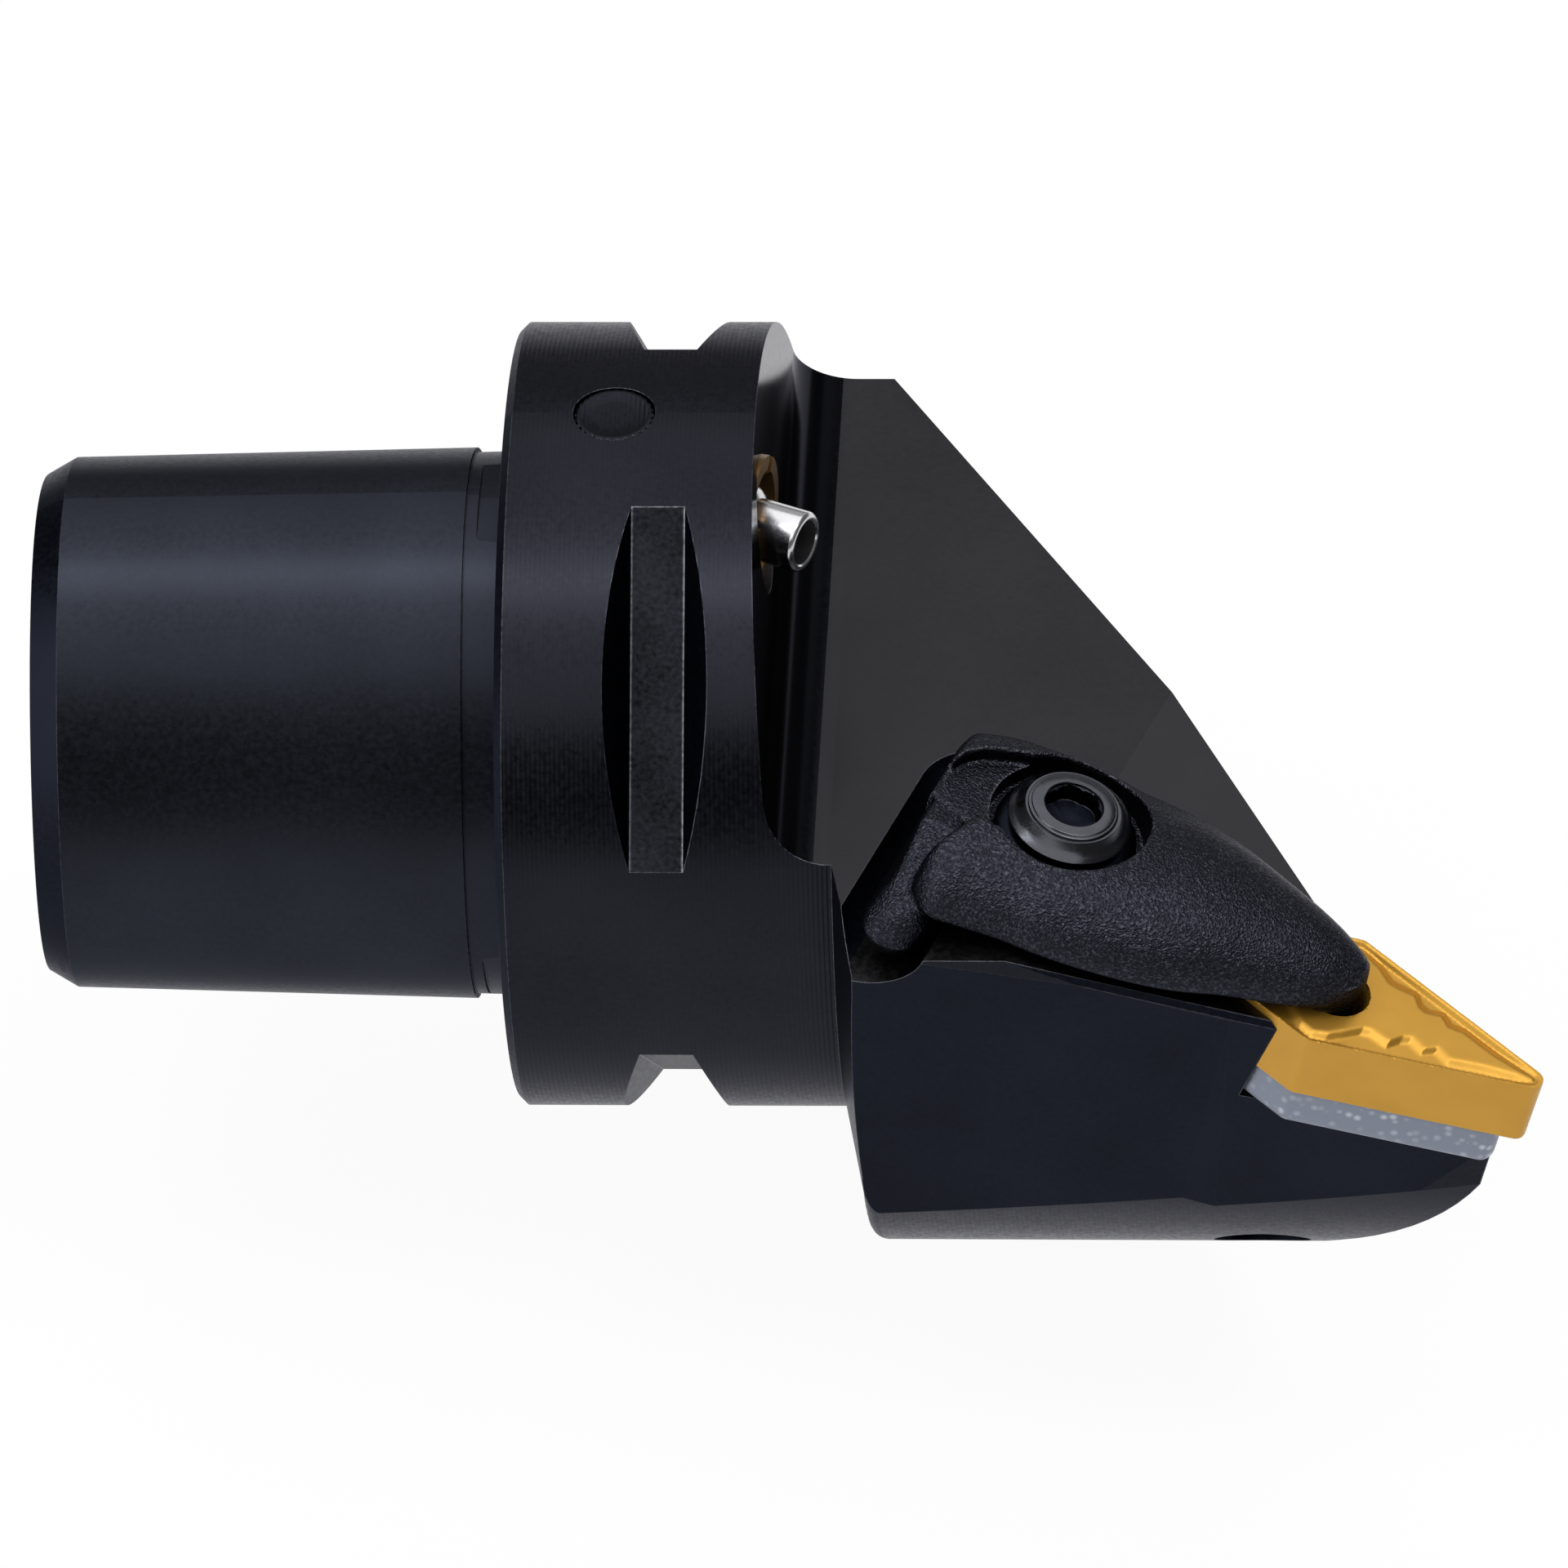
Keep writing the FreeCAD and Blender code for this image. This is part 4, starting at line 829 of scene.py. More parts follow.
@dataclass
class HolderBody:
    """The one-piece steel body, as a copy of its CAD solid with a finish for each kind of surface."""

    flange_r: float = 25.0
    head_r: float = 33.45
    groove_r: float = 22.25
    groove_x: float = 10.0
    groove_half: float = 1.67
    shank_end: float = -28.4
    deck_z: float = 8.2
    scoop_x: float = 15.75
    scoop_end_x: float = 20.5

    def surface(self, centre: Vector, normal: Vector) -> BodySurface:
        """Return how the surface at a point was made, or that it faces up on the head and takes the painted top
        light.

        Args:
            centre: The face's centre in millimetres.
            normal: The face's normal.

        Returns:
            The kind of surface.
        """
        radius = math.hypot(centre.y, centre.z)
        radial = (centre.y * normal.y + centre.z * normal.z) / max(radius, 1e-6)
        if self.shank_end < centre.x < -0.05 and radial > 0.85:
            return BodySurface.GROUND
        if radial > 0.95 and (abs(radius - self.flange_r) < 0.4 or abs(radius - self.head_r) < 0.4):
            return BodySurface.TURNED
        diagonal = (abs(centre.y) + abs(centre.z)) / math.sqrt(2)
        if abs(diagonal - self.groove_r) < 0.1 and abs(centre.x - self.groove_x) < self.groove_half:
            return BodySurface.GROOVE
        if self.scoop_x - 0.5 < centre.x < self.scoop_end_x and centre.z > self.deck_z + 0.05 and normal.x > 0.2:
            return BodySurface.SCOOP
        # upward faces of the head get a lighter, neutral copy of the oxide: painted light from above
        if normal.z > 0.9 and centre.x > 0.0:
            return BodySurface.TOP_LIT_DECK
        return BodySurface.MILLED

    def build(self, frame: Dict, finishes: Finishes) -> bpy.types.Object:
        """Build and dress the body.

        Args:
            frame: The loaded frame.
            finishes: The holder's finishes.

        Returns:
            The body piece.
        """
        piece = solid_copy("holder_body_machined", frame["nodes"]["holder_body"])
        dress(piece, finishes.milled, finishes.turned, finishes.ground, finishes.groove, finishes.top_lit_deck,
              finishes.scoop)
        for polygon in piece.data.polygons:
            polygon.material_index = self.surface(polygon.center / MM, polygon.normal).value
        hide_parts("holder_body")
        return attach(piece, "holder")


@dataclass
class ChannelPlug:
    """The serrated plug in the flange, slightly sunk, with a shallow dish in its face."""

    radius: float = 2.42
    top: float = 24.85
    bottom: float = 19.85
    teeth: int = 28
    tooth: float = 0.11

    def toothed(self, angle: float) -> float:
        """Return the plug's toothed radius at an angle."""
        return self.radius + self.tooth * (0.5 + 0.5 * math.cos(self.teeth * angle))

    def build(self, finishes: Finishes) -> bpy.types.Object:
        """Build and dress the plug.

        Args:
            finishes: The holder's finishes.

        Returns:
            The plug piece.
        """
        top = self.top
        rings = [Ring(self.bottom, 0.0), Ring(self.bottom, self.radius - 0.3), Ring(self.bottom + 0.3, self.radius),
                 Ring(top - 0.85, self.radius), Ring(top - 0.75, 0.0, self.toothed),
                 Ring(top - 0.06, 0.0, self.toothed), Ring(top, self.radius - 0.08),
                 Ring(top, self.radius - 0.28), Ring(top - 0.05, self.radius - 0.4),
                 Ring(top - 0.07, 1.2), Ring(top - 0.08, 0.0)]
        piece = turned_piece("channel_plug_serrated", rings, PLUG_AXES, segments=168)
        dress(piece, finishes.turned)
        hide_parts("channel_plug")
        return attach(piece, "holder")


# Insert and shim


def rhombus_corners(inscribed: float) -> List[Point2]:
    """Return the corners of a 35 degree rhombus round an inscribed circle."""
    half = math.radians(INSERT_ANGLE / 2)
    return [(inscribed / math.sin(half), 0.0), (0.0, inscribed / math.cos(half)),
            (-inscribed / math.sin(half), 0.0), (0.0, -inscribed / math.cos(half))]


@dataclass
class Insert:
    """The double-sided rhombic insert, with its chip-breaker on both faces."""

    thickness: float = INSERT_T
    hole_r: float = 1.905
    land: float = 0.12
    floor_depth: float = 0.34
    floor_from: float = 0.55
    wall: float = 0.85
    stations: Tuple[float, ...] = (0.0, 0.9, 1.7, 2.6, 3.1, 4.0, 4.4, 5.0, 5.5, 6.5, 7.2, 8.2, 9.1, 10.5, 12.2,
                                   13.2, 15.0)
    near_plateau: Tuple[float, ...] = (1.1, 1.2, 1.7, 2.35, 2.35, 1.85, 1.68, 2.3, 2.45, 1.68, 2.05, 1.25, 1.3, 1.3,
                                       1.15, 0.9, 0.5)
    far_plateau: Tuple[float, ...] = (1.1, 1.15, 1.3, 1.75, 1.7, 1.45, 1.3, 1.85, 1.9, 1.3, 1.7, 1.3, 1.3, 1.3,
                                      1.05, 0.9, 0.5)
    bottom_share: float = 0.05
    mouth_flare: float = 0.3
    mouth_reach: float = 0.35
    mouth_n: float = 0.15
    mouth_blend: float = 0.08
    step: float = 0.12

    def outline(self, s: Array, t: Array) -> Array:
        """Return the plan distance to the insert's edge, negative inside."""
        return polygon_distance(rhombus_corners(INSCRIBED_R - NOSE_R), s, t) - NOSE_R

    def relief(self, s: Array, t: Array, inward: Array) -> Array:
        """Return how far the top face lies below the cutting edge.

        Args:
            s: Position along the long diagonal, positive towards the corner in use.
            t: Position across, negative on the near side.
            inward: Distance inwards from the outline.

        Returns:
            The depth in millimetres.
        """
        end = np.abs(s)
        near = np.interp(end, self.stations, self.near_plateau)
        far = np.interp(end, self.stations, self.far_plateau)
        plateau = np.where(t < 0.0, near, far)
        dip = smooth_step(self.land, self.floor_from, inward)
        rise = smooth_step(0.0, 1.0, (inward - plateau + self.wall) / self.wall)
        return self.floor_depth * (dip - (1.0 - self.bottom_share) * rise).clip(self.bottom_share * dip, 1.0)

    def shape(self, s: Array, t: Array, n: Array) -> Array:
        """Return the insert's field."""
        plan = self.outline(s, t)
        depth = self.relief(s, t, -plan)
        body = np.maximum(plan, np.maximum(n + depth, -self.thickness - n + depth))
        radius = np.hypot(s, t)
        mouth = np.minimum(np.abs(n + self.mouth_n), np.abs(n + self.thickness - self.mouth_n))
        flare = self.hole_r + self.mouth_flare * np.exp(-mouth / self.mouth_reach)
        return smooth_max(body, flare - radius, self.mouth_blend)

    def build(self, finishes: Finishes) -> bpy.types.Object:
        """Build and dress the insert."""
        piece = contour_piece("insert_pressed", self.shape, (-16.6, -5.6, -5.2), (16.6, 5.6, 0.5), self.step)
        dress(piece, finishes.gold)
        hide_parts("insert")
        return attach(piece, "holder")


@dataclass
class Shim:
    """The carbide shim under the insert, with rounded edges."""

    thickness: float = 3.18
    inset: float = 0.3
    edge: float = 0.8
    rounding: float = 1.0
    hole_r: float = 2.1
    sink_r: float = 2.95
    sink_n: float = -INSERT_T - 0.35
    top_edge: float = 0.4
    step: float = 0.2

    def shape(self, s: Array, t: Array, n: Array) -> Array:
        """Return the shim's field."""
        plan = polygon_distance(rhombus_corners(INSCRIBED_R - self.inset - self.rounding), s, t) - self.rounding
        top, bottom = n + INSERT_T, -INSERT_T - self.thickness - n
        body = smooth_max(plan, bottom, self.edge)
        body = smooth_max(body, top, self.top_edge)
        radius = np.hypot(s, t)
        cone = (self.sink_r - (self.sink_n - n).clip(0.0)).clip(self.hole_r, self.sink_r)
        return np.maximum(body, cone - radius)

    def build(self, finishes: Finishes) -> bpy.types.Object:
        """Build and dress the shim."""
        low = -INSERT_T - self.thickness - 0.4
        piece = contour_piece("shim_ground", self.shape, (-16.4, -5.4, low), (16.4, 5.4, -INSERT_T + 0.4), self.step)
        dress(piece, finishes.carbide)
        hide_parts("shim")
        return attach(piece, "holder")


# Clamp


@dataclass
class Clamp:
    """The teardrop top clamp: a full crown, a heel leg, a flat recess and the screw's seat."""

    stations: Tuple[float, ...] = (-27.6, -27.0, -26.0, -24.4, -22.2, -19.6, -17.0, -13.0, -9.0, -5.5, -2.5, -0.5,
                                   0.9, 1.45, 1.62)
    near: Tuple[float, ...] = (-6.0, -7.0, -8.6, -9.7, -9.5, -9.1, -8.9, -8.2, -7.0, -5.3, -4.1, -3.1, -1.7, -0.7,
                               -0.05)
    far: Tuple[float, ...] = (2.8, 3.9, 4.7, 5.4, 5.7, 6.1, 6.5, 6.6, 5.9, 4.7, 3.6, 2.7, 1.8, 1.1, 0.35)
    crown: Tuple[float, ...] = (4.7, 4.85, 4.95, 5.0, 5.05, 5.15, 5.2, 5.1, 4.9, 4.5, 4.05, 3.5, 2.8, 2.3, 1.6)
    base: float = 0.55
    near_fullness: float = 2.3
    rim_fullness: float = 4.0
    seat_r: float = 5.0
    seat_n: float = 2.4
    bore_r: float = 2.8
    panel_n: float = 3.7
    panel: Tuple[Point2, ...] = ((-19.0, -3.5), (-19.0, 3.7), (-22.0, 3.5), (-24.0, 2.8), (-25.7, 1.9), (-26.6, 1.0),
                                 (-27.1, -0.1), (-30.0, -0.4), (-30.0, -9.5), (-26.2, -9.0), (-25.9, -7.5),
                                 (-25.5, -6.5), (-24.95, -5.3), (-24.2, -3.7), (-23.5, -3.6), (-22.8, -3.9))
    shoulder_t: Tuple[float, ...] = (-9.9, -9.3, -8.4, -7.5, -6.5, -5.3, -3.4, -2.4)
    shoulder_s: Tuple[float, ...] = (-24.3, -25.2, -25.8, -25.9, -25.6, -25.0, -24.2, -27.4)
    leg_s: float = -25.95
    leg_half: float = 1.4
    leg_t: Tuple[float, ...] = (-10.8, -9.6, -4.6, 3.6)
    leg_n: Tuple[float, ...] = (-2.2, -1.0, 3.7, 3.7)
    heel_s: float = -26.0
    heel_n: float = -1.55
    heel_r: float = 2.1
    heel_near: float = -8.75
    heel_far: float = 4.2
    pad_s: float = -0.9
    pad_r: float = 2.4
    hook_s: float = -0.1
    hook_r: float = 1.45
    hook_n: float = -1.5
    nose_top_n: float = 2.0
    rim_near_t: float = -1.0
    rim_far_t: float = 2.0
    rim_fade: Point2 = (-22.5, -15.5)
    step: float = 0.16
    lines: Dict[str, Spline] = field(init=False, default_factory=dict)

    def __post_init__(self) -> None:
        """Fit the plan and crown curves."""
        for name in ("near", "far", "crown"):
            self.lines[name] = Spline(self.stations, getattr(self, name))

    def pillow(self, s: Array, t: Array, n: Array) -> Array:
        """Return the field of the clamp's crowned upper part, fuller along its far rim.

        Args:
            s: Position along the insert's long diagonal.
            t: Position across it.
            n: Height over the rake plane.

        Returns:
            The field in millimetres, negative inside.
        """
        near, far, crown = (self.lines[name].at(s) for name in ("near", "far", "crown"))
        half = np.maximum((far - near) / 2, 0.05)
        height = crown - self.base
        offset = t - (far + near) / 2
        rim = smooth_step(self.rim_near_t, self.rim_far_t, offset) * (1.0 - smooth_step(*self.rim_fade, s))
        power = self.near_fullness + (self.rim_fullness - self.near_fullness) * rim
        across = np.abs(offset) / half
        up = np.maximum(n - self.base, 0.0) / height
        level = (across ** power + up ** power) ** (1.0 / power)
        body = (level - 1.0) * np.minimum(half, height)
        body = smooth_max(body, self.base - n, 0.7)
        body = smooth_max(body, np.interp(t, self.shoulder_t, self.shoulder_s) - s, 0.8)
        return smooth_max(body, s - self.stations[-1], 0.5)

    def leg(self, s: Array, t: Array, n: Array) -> Array:
        """Return the field of the leg, whose top slopes down to the near side."""
        top = (n - np.interp(t, self.leg_t, self.leg_n)) * 0.75
        sides = np.abs(s - self.leg_s) - self.leg_half
        ends = np.maximum(self.leg_t[0] - t, t - self.leg_t[-1])
        return smooth_max(smooth_max(smooth_max(top, sides, 0.9), ends, 0.6), self.heel_n - n, 0.3)

    def foot(self, s: Array, t: Array, n: Array) -> Array:
        """Return the field of the round foot bar that sits in the body's channel."""
        out_t = np.maximum(np.maximum(self.heel_near - t, t - self.heel_far), 0.0)
        return np.sqrt((s - self.heel_s) ** 2 + (n - self.heel_n) ** 2 + out_t ** 2) - self.heel_r

    def shape(self, s: Array, t: Array, n: Array) -> Array:
        """Return the clamp's field."""
        body = smooth_min(self.pillow(s, t, n), self.leg(s, t, n), 0.7)
        body = smooth_min(body, self.foot(s, t, n), 0.8)
        over = n - self.nose_top_n
        pad = np.maximum(np.hypot(s - self.pad_s, t) - self.pad_r, np.maximum(-n, over))
        hook = np.maximum(np.hypot(s - self.hook_s, t) - self.hook_r, np.maximum(self.hook_n - n, over))
        body = smooth_min(body, pad, 0.25)
        body = np.minimum(body, hook)
        from_screw = np.hypot(s - CLAMP_AXIS_S, t)
        seat = np.maximum(from_screw - self.seat_r, self.seat_n - n)
        recess = smooth_max(polygon_distance(self.panel, s, t), self.panel_n - n, 0.3)
        cut = np.minimum(seat, recess)
        body = smooth_max(body, -cut, 0.3)
        return np.maximum(body, self.bore_r - from_screw)

    def build(self, finishes: Finishes) -> bpy.types.Object:
        """Build and dress the clamp."""
        piece = contour_piece("clamp_forged", self.shape, (-29.2, -11.8, -4.4), (2.4, 8.2, 6.0), self.step)
        dress(piece, finishes.blasted)
        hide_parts("clamp")
        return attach(piece, "clamp_unit")


@dataclass
class ClampScrew:
    """The clamp's screw and washer: flared skirt, stepped face, six-lobe socket and thread."""

    seat: float = 3.3
    washer_floor: float = 2.4
    length: float = 18.0
    core_r: float = 2.08
    thread_r: float = 2.5
    pitch: float = 0.8
    socket_r: float = 1.8
    socket_lobe: float = 0.16
    socket_depth: float = 1.5
    head: float = 2.05
    thread_turns: float = 15.0

    def axes(self) -> Axes:
        """Return the frame on the screw's axis."""
        origin = POCKET.origin + POCKET.a * CLAMP_AXIS_S
        return Axes(origin, POCKET.a, POCKET.b, POCKET.c)

    def lobed(self, scale: float) -> Radius:
        """Return the six-lobe outline of the socket at a scale."""
        def reach(angle: float) -> float:
            """Return the socket's radius at an angle."""
            wave = 0.5 + 0.5 * math.cos(6 * angle)
            return scale * (self.socket_r - self.socket_lobe * (1.0 - wave ** 0.35))
        return reach

    def head_rings(self) -> List[Ring]:
        """Return the rings of the head and plain shank."""
        seat, top = self.seat, self.seat + self.head
        end = seat - self.length
        return [Ring(end, 0.0), Ring(end, self.core_r - 0.5), Ring(end + 0.5, self.core_r),
                Ring(seat - 5.0, self.core_r), Ring(seat - 4.6, self.thread_r - 0.02),
                Ring(seat, self.thread_r - 0.02), Ring(seat, 3.2), Ring(seat + 0.66, 3.86),
                Ring(seat + 0.74, 3.92), Ring(seat + 0.86, 3.92),
                Ring(seat + 0.93, 3.85), Ring(seat + 1.08, 3.62), Ring(seat + 1.32, 3.34), Ring(top - 0.38, 3.08),
                Ring(top - 0.3, 3.0), Ring(top - 0.3, 2.86), Ring(top - 0.16, 2.82), Ring(top - 0.12, 2.74),
                Ring(top - 0.12, 2.66), Ring(top - 0.03, 2.62), Ring(top, 2.56), Ring(top, 1.9),
                Ring(top - 0.05, 1.85), Ring(top - 0.2, 1.82), Ring(top - 0.24, 0.0, self.lobed(1.0)),
                Ring(top - self.socket_depth, 0.0, self.lobed(1.0)),
                Ring(top - self.socket_depth - 0.25, 0.55), Ring(top - self.socket_depth - 0.3, 0.0)]

    def build(self, helix: bpy.types.NodeTree, finishes: Finishes) -> List[bpy.types.Object]:
        """Build and dress the screw, its thread and the washer.

        Args:
            helix: The swept helix group.
            finishes: The holder's finishes.

        Returns:
            The three pieces.
        """
        axes = self.axes()
        head = turned_piece("clamp_screw_head", self.head_rings(), axes, segments=144)
        dress(head, finishes.screw, finishes.milled)
        # the socket's inner wall takes the dark milled oxide in place of the screw steel: painted shade inside the
        # socket
        to_axis = axes.matrix().inverted()
        for polygon in head.data.polygons:
            spot = to_axis @ polygon.center
            inside = math.hypot(spot.x, spot.y) < self.socket_r and spot.z > self.seat
            polygon.material_index = int(inside and spot.z < self.seat + self.head - 0.1)
        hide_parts("clamp_screw")
        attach(head, "screw")
        thread = run_geometry("clamp_screw_thread", helix, {
            "Helix Radius": self.core_r, "Pitch": self.pitch, "Turns": self.thread_turns, "Wire Radius": 0.4,
            "Wire Sides": 6, "Start": self.seat - self.length + 0.9, "Shift": 0.0, "Finish": finishes.screw}, axes)
        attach(thread, "screw")
        floor = self.washer_floor
        rings = [Ring(floor, 2.6), Ring(floor, 4.35), Ring(floor + 0.12, 4.5), Ring(floor + 0.4, 4.5),
                 Ring(floor + 0.55, 4.35), Ring(floor + 0.86, 3.85), Ring(floor + 0.9, 3.7), Ring(floor + 0.9, 2.6)]
        washer = turned_piece("clamp_washer_dished", rings, axes, segments=120, closed=True)
        dress(washer, finishes.milled)
        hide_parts("clamp_washer")
        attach(washer, "clamp_unit")
        return [head, thread, washer]


@dataclass
class ClampSpring:
    """The coil spring between the body and the clamp."""

    radius: float = 3.55
    wire: float = 0.4
    turns: float = 3.5
    floor: float = -5.9
    top: float = 0.5

    def build(self, helix: bpy.types.NodeTree, axes: Axes, finishes: Finishes) -> bpy.types.Object:
        """Build and dress the spring."""
        height = self.top - self.floor - 2 * self.wire
        coil = run_geometry("clamp_spring_wire", helix, {
            "Helix Radius": self.radius, "Pitch": height / self.turns, "Turns": self.turns, "Wire Radius": self.wire,
            "Wire Sides": 14, "Start": self.floor + self.wire, "Shift": 0.0, "Finish": finishes.spring}, axes)
        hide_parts("clamp_spring")
        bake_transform(coil)
        return coil


@dataclass
class ShimScrew:
    """The countersunk screw under the insert."""

    top: float = -INSERT_T - 0.35
    head_r: float = 2.9
    shank_r: float = 1.95
    length: float = 6.8

    def build(self, finishes: Finishes) -> bpy.types.Object:
        """Build and dress the shim screw."""
        top, end = self.top, self.top - self.length
        socket = ClampScrew(socket_r=1.15, socket_lobe=0.25)
        rings = [Ring(end, 0.0), Ring(end, self.shank_r - 0.5), Ring(end + 0.5, self.shank_r),
                 Ring(top - 0.95, self.shank_r), Ring(top - 0.08, self.head_r - 0.04), Ring(top, self.head_r - 0.12),
                 Ring(top, 1.4), Ring(top - 0.05, 0.0, socket.lobed(1.04)), Ring(top - 1.2, 0.0, socket.lobed(1.0)),
                 Ring(top - 1.4, 0.0)]
        piece = turned_piece("shim_screw_turned", rings, POCKET, segments=96)
        dress(piece, finishes.screw)
        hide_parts("shim_screw")
        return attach(piece, "holder")


# Nozzle


@dataclass
class Nozzle:
    """The swivelling coolant nozzle: ball and tube, brass ring and seal."""

    ball_r: float = 3.1
    tube_r: float = 1.95
    bore_r: float = 1.45
    reach: float = 6.0
    collar_r: float = 4.3
    collar_front: float = 2.6
    collar_back: float = 0.4

    def ball_rings(self) -> List[Ring]:
        """Return the closed loop of rings of the ball and its tube."""
        start = math.asin(self.bore_r / self.ball_r)
        end = math.pi - math.asin(self.tube_r / self.ball_r)
        rings = []
        for index in range(25):
            angle = start + (end - start) * index / 24
            rings.append(Ring(-self.ball_r * math.cos(angle), self.ball_r * math.sin(angle)))
        mouth = self.bore_r
        return rings + [Ring(self.reach - 0.32, self.tube_r), Ring(self.reach - 0.22, self.tube_r - 0.02),
                        Ring(self.reach - 0.02, self.tube_r - 0.2), Ring(self.reach, self.tube_r - 0.26),
                        Ring(self.reach, mouth + 0.1), Ring(self.reach - 0.1, mouth)]

    def collar_rings(self) -> List[Ring]:
        """Return the closed loop of rings of the brass ring."""
        cup = self.ball_r + 0.05
        inner = []
        for index in range(9):
            along = self.collar_back + (1.5 - self.collar_back) * index / 8
            inner.append(Ring(along, math.sqrt(cup * cup - along * along)))
        front = self.collar_front
        return inner + [Ring(front - 0.15, 3.25), Ring(front, 3.4), Ring(front, self.collar_r - 0.15),
                        Ring(front - 0.15, self.collar_r), Ring(self.collar_back, self.collar_r)]

    def build(self, frame: Dict, finishes: Finishes) -> List[bpy.types.Object]:
        """Build and dress the nozzle's pieces.

        Args:
            frame: The loaded frame.
            finishes: The holder's finishes.

        Returns:
            The pieces that were made.
        """
        ball = turned_piece("nozzle_turned", self.ball_rings(), NOZZLE_AXES, segments=120, closed=True)
        dress(ball, finishes.bright)
        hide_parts("nozzle")
        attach(ball, "nozzle_ball")
        dress(frame["nodes"]["nozzle_collar"], finishes.brass)
        dress(frame["nodes"]["nozzle_seal"], finishes.rubber)
        return [ball]


# Studio


@dataclass(frozen=True)
class Lamp:
    """One soft rectangular lamp: its place, aim and size in metres and its power in watts."""

    name: str
    place: Point3
    aim: Point3
    size: Point2
    power: float

    def build(self) -> None:
        """Add the lamp to the scene."""
        data = bpy.data.lights.new(self.name, "AREA")
        data.shape = "RECTANGLE"
        data.size, data.size_y = self.size
        data.energy = self.power
        lamp = bpy.data.objects.new(self.name, data)
        lamp.location = self.place
        lamp.rotation_euler = (Vector(self.aim) - Vector(self.place)).to_track_quat("-Z", "Y").to_euler()
        bpy.context.scene.collection.objects.link(lamp)


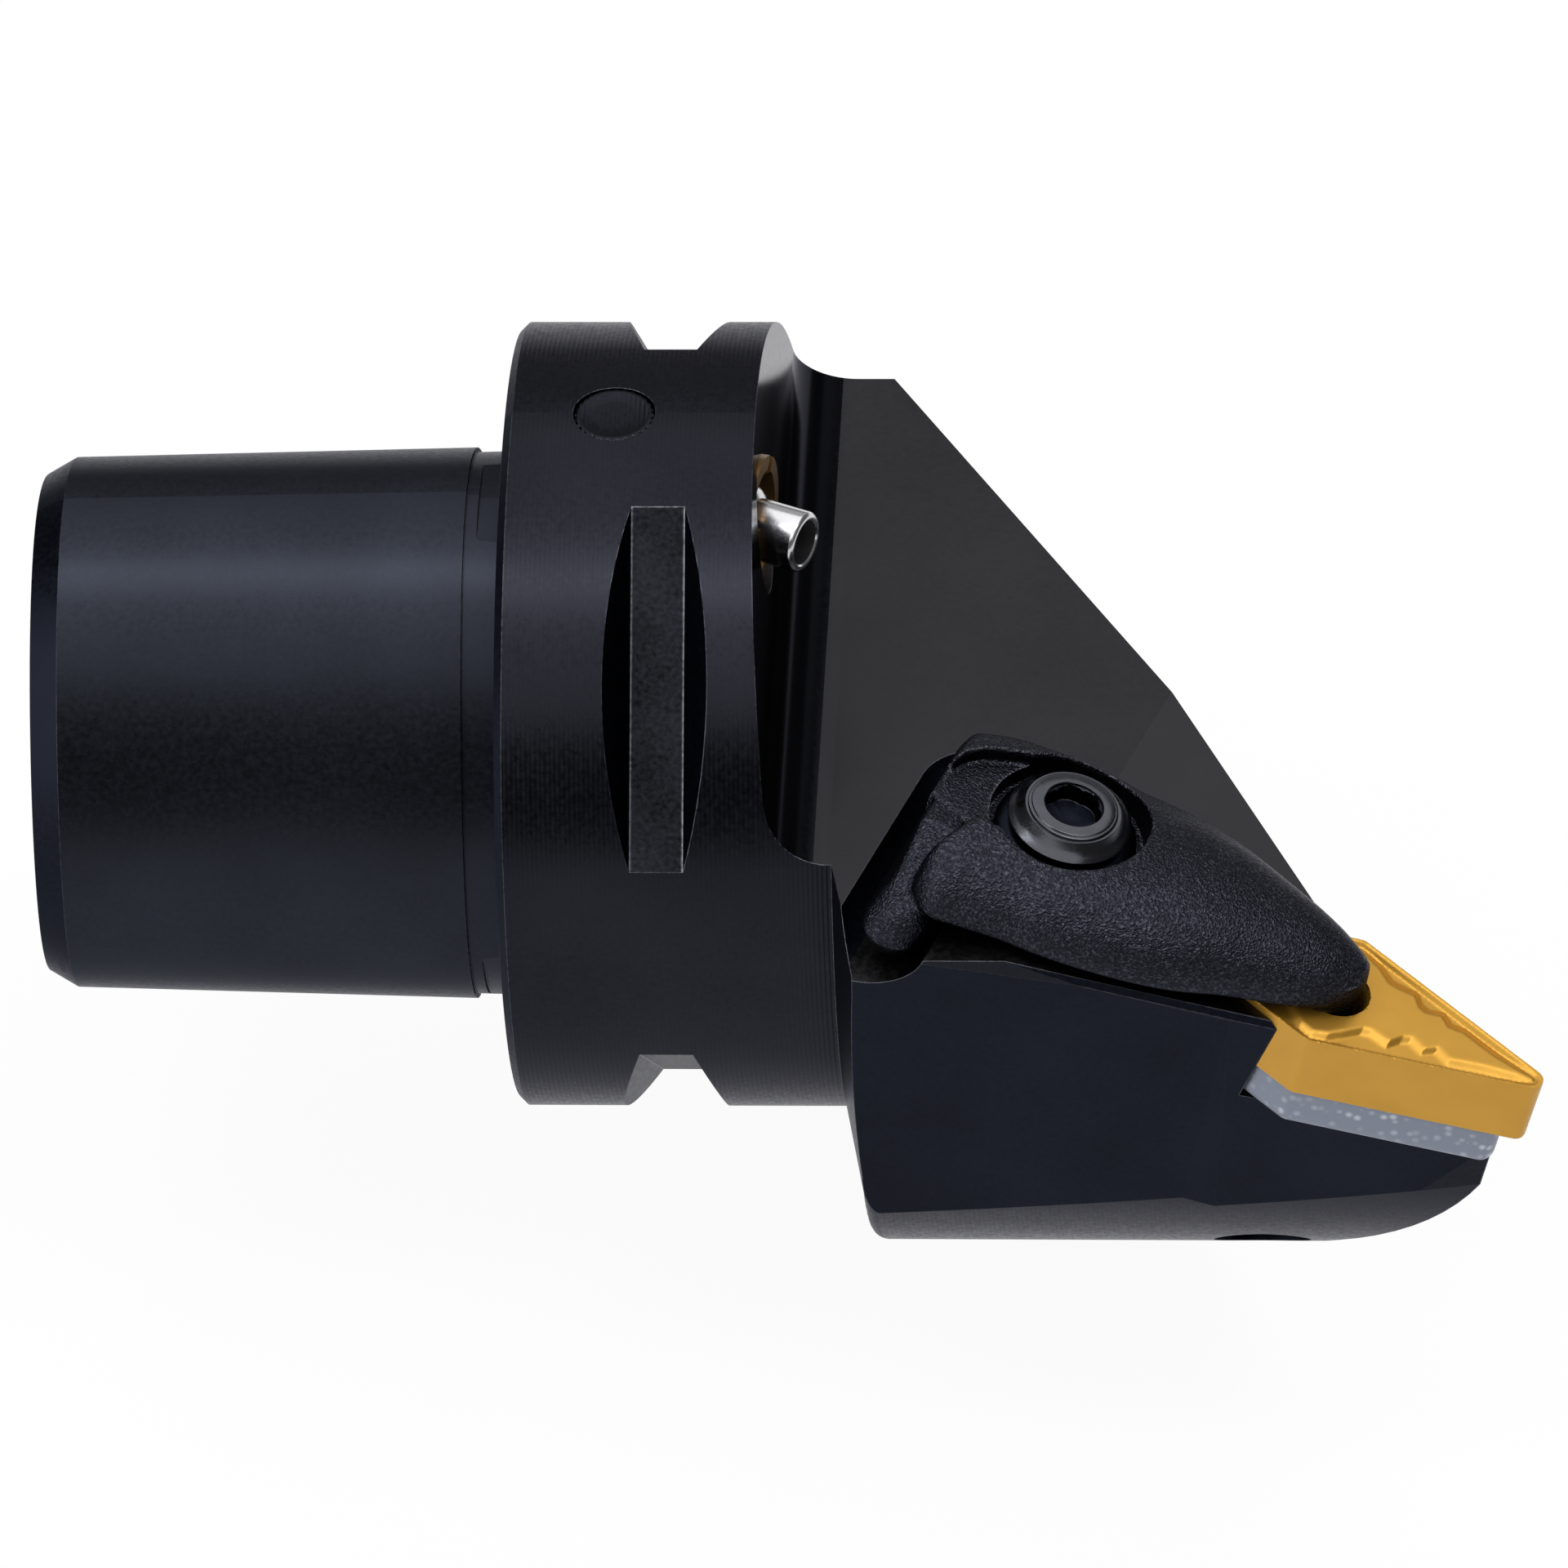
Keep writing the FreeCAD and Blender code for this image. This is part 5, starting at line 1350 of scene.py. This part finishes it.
@dataclass
class Studio:
    """The pale floor, the soft lamps and the camera at the photograph's angle."""

    camera_mm: Point3 = (62.02, -600.82, 524.85)
    focal_mm: float = 287.5
    sensor_mm: float = 36.0
    tilt_deg: float = 48.54
    turn_deg: float = 3.255
    roll_deg: float = 0.131
    floor_z_mm: float = -35.2
    floor_half_mm: float = 30000.0
    paper_glow: float = 0.94
    world_strength: float = 0.12
    lamps: Tuple[Lamp, ...] = (
        Lamp("top_panel", (0.05, -0.05, 0.75), (0.05, -0.05, 0.0), (1.2, 1.9), 9.3),
        Lamp("top_strip", (0.05, -0.12, 0.7), (0.05, -0.12, 0.0), (1.2, 0.14), 2.0),
        Lamp("back_panel", (0.0, 0.95, 0.42), (0.03, 0.0, 0.0), (1.4, 0.4), 0.6),
        Lamp("left_panel", (-0.9, -0.5, 0.3), (0.0, 0.0, 0.0), (0.8, 0.8), 5.0))

    def camera_axes(self) -> Tuple[Vector, Vector, Vector]:
        """Return the camera's right, up and backward axes."""
        tilt, turn, roll = (math.radians(v) for v in (self.tilt_deg, self.turn_deg, self.roll_deg))
        back = Vector((0.0, -math.sin(tilt), math.cos(tilt)))
        up = Vector((0.0, math.cos(tilt), math.sin(tilt)))
        right = Vector((1.0, 0.0, 0.0))
        back, right = back * math.cos(turn) + right * math.sin(turn), right * math.cos(turn) - back * math.sin(turn)
        right, up = right * math.cos(roll) + up * math.sin(roll), up * math.cos(roll) - right * math.sin(roll)
        return right, up, back

    def camera(self) -> None:
        """Place the camera."""
        right, up, back = self.camera_axes()
        data = bpy.data.cameras.new("photo_camera")
        data.lens = self.focal_mm
        data.sensor_width = self.sensor_mm
        data.sensor_fit = "HORIZONTAL"
        data.clip_start, data.clip_end = 0.05, 20.0
        eye = bpy.data.objects.new("photo_camera", data)
        place = [c * MM for c in self.camera_mm]
        rows = [[right[i], up[i], back[i], place[i]] for i in range(3)]
        eye.matrix_world = Matrix(rows + [[0.0, 0.0, 0.0, 1.0]])
        bpy.context.scene.collection.objects.link(eye)
        bpy.context.scene.camera = eye

    def world(self) -> None:
        """Set a dim, even surrounding, so that the lamps shape the metal."""
        world = bpy.data.worlds.new("studio")
        world.use_nodes = True
        tree = world.node_tree
        tree.nodes.clear()
        add_node(tree, "ShaderNodeOutputWorld", {"Surface": add_node(tree, "ShaderNodeBackground", {
            "Color": linear("#ffffff"), "Strength": self.world_strength}).outputs[0]})
        bpy.context.scene.world = world

    def floor(self) -> None:
        """Lay the pale floor."""
        half = self.floor_half_mm
        corners = [(-half, -half, 0.0), (half, -half, 0.0), (half, half, 0.0), (-half, half, 0.0)]
        axes = Axes(Vector((0.0, 0.0, self.floor_z_mm)), Vector((1.0, 0.0, 0.0)), Vector((0.0, 1.0, 0.0)),
                    Vector((0.0, 0.0, 1.0)))
        sheet = make_piece("floor", corners, [(0, 1, 2, 3)], axes)
        paper = bpy.data.materials.new("floor_paper")
        paper.use_nodes = True
        tree = paper.node_tree
        tree.nodes.clear()
        matt = add_node(tree, "ShaderNodeBsdfDiffuse", {"Color": linear("#f2f2f2")})
        white = add_node(tree, "ShaderNodeEmission", {"Color": linear("#ffffff"), "Strength": 1.0})
        path = add_node(tree, "ShaderNodeLightPath")
        seen = path.outputs["Is Camera Ray"]
        for kind in ("Is Glossy Ray", "Is Transmission Ray"):
            seen = add_node(tree, "ShaderNodeMath", {0: seen, 1: path.outputs[kind]}, operation="MAXIMUM").outputs[0]
        seen = add_node(tree, "ShaderNodeMath", {0: seen, 1: self.paper_glow}, operation="MULTIPLY")
        mixed = add_node(tree, "ShaderNodeMixShader", {0: seen.outputs[0], 1: matt.outputs[0], 2: white.outputs[0]})
        add_node(tree, "ShaderNodeOutputMaterial", {"Surface": mixed.outputs[0]})
        dress(sheet, paper)

    def build(self) -> None:
        """Build the whole studio."""
        bpy.context.scene.view_settings.view_transform = "Standard"
        self.camera()
        self.world()
        self.floor()
        for lamp in self.lamps:
            lamp.build()


def main() -> None:
    """Build every sub-assembly in order and report its pieces."""
    logging.basicConfig(level=logging.INFO, format="%(name)s: %(message)s")
    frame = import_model()
    studio = Studio()
    studio.build()
    finishes = Finishes()
    helix = helix_group()
    screw = ClampScrew()
    pieces = [HolderBody().build(frame, finishes), ChannelPlug().build(finishes), Insert().build(finishes),
              Shim().build(finishes), ShimScrew().build(finishes), Clamp().build(finishes)]
    pieces += screw.build(helix, finishes)
    pieces += Nozzle().build(frame, finishes)
    pieces.append(ClampSpring().build(helix, screw.axes(), finishes))
    for piece in pieces:
        LOG.info("%s: %d faces", piece.name, len(piece.data.polygons))


if __name__ == "__main__":
    main()
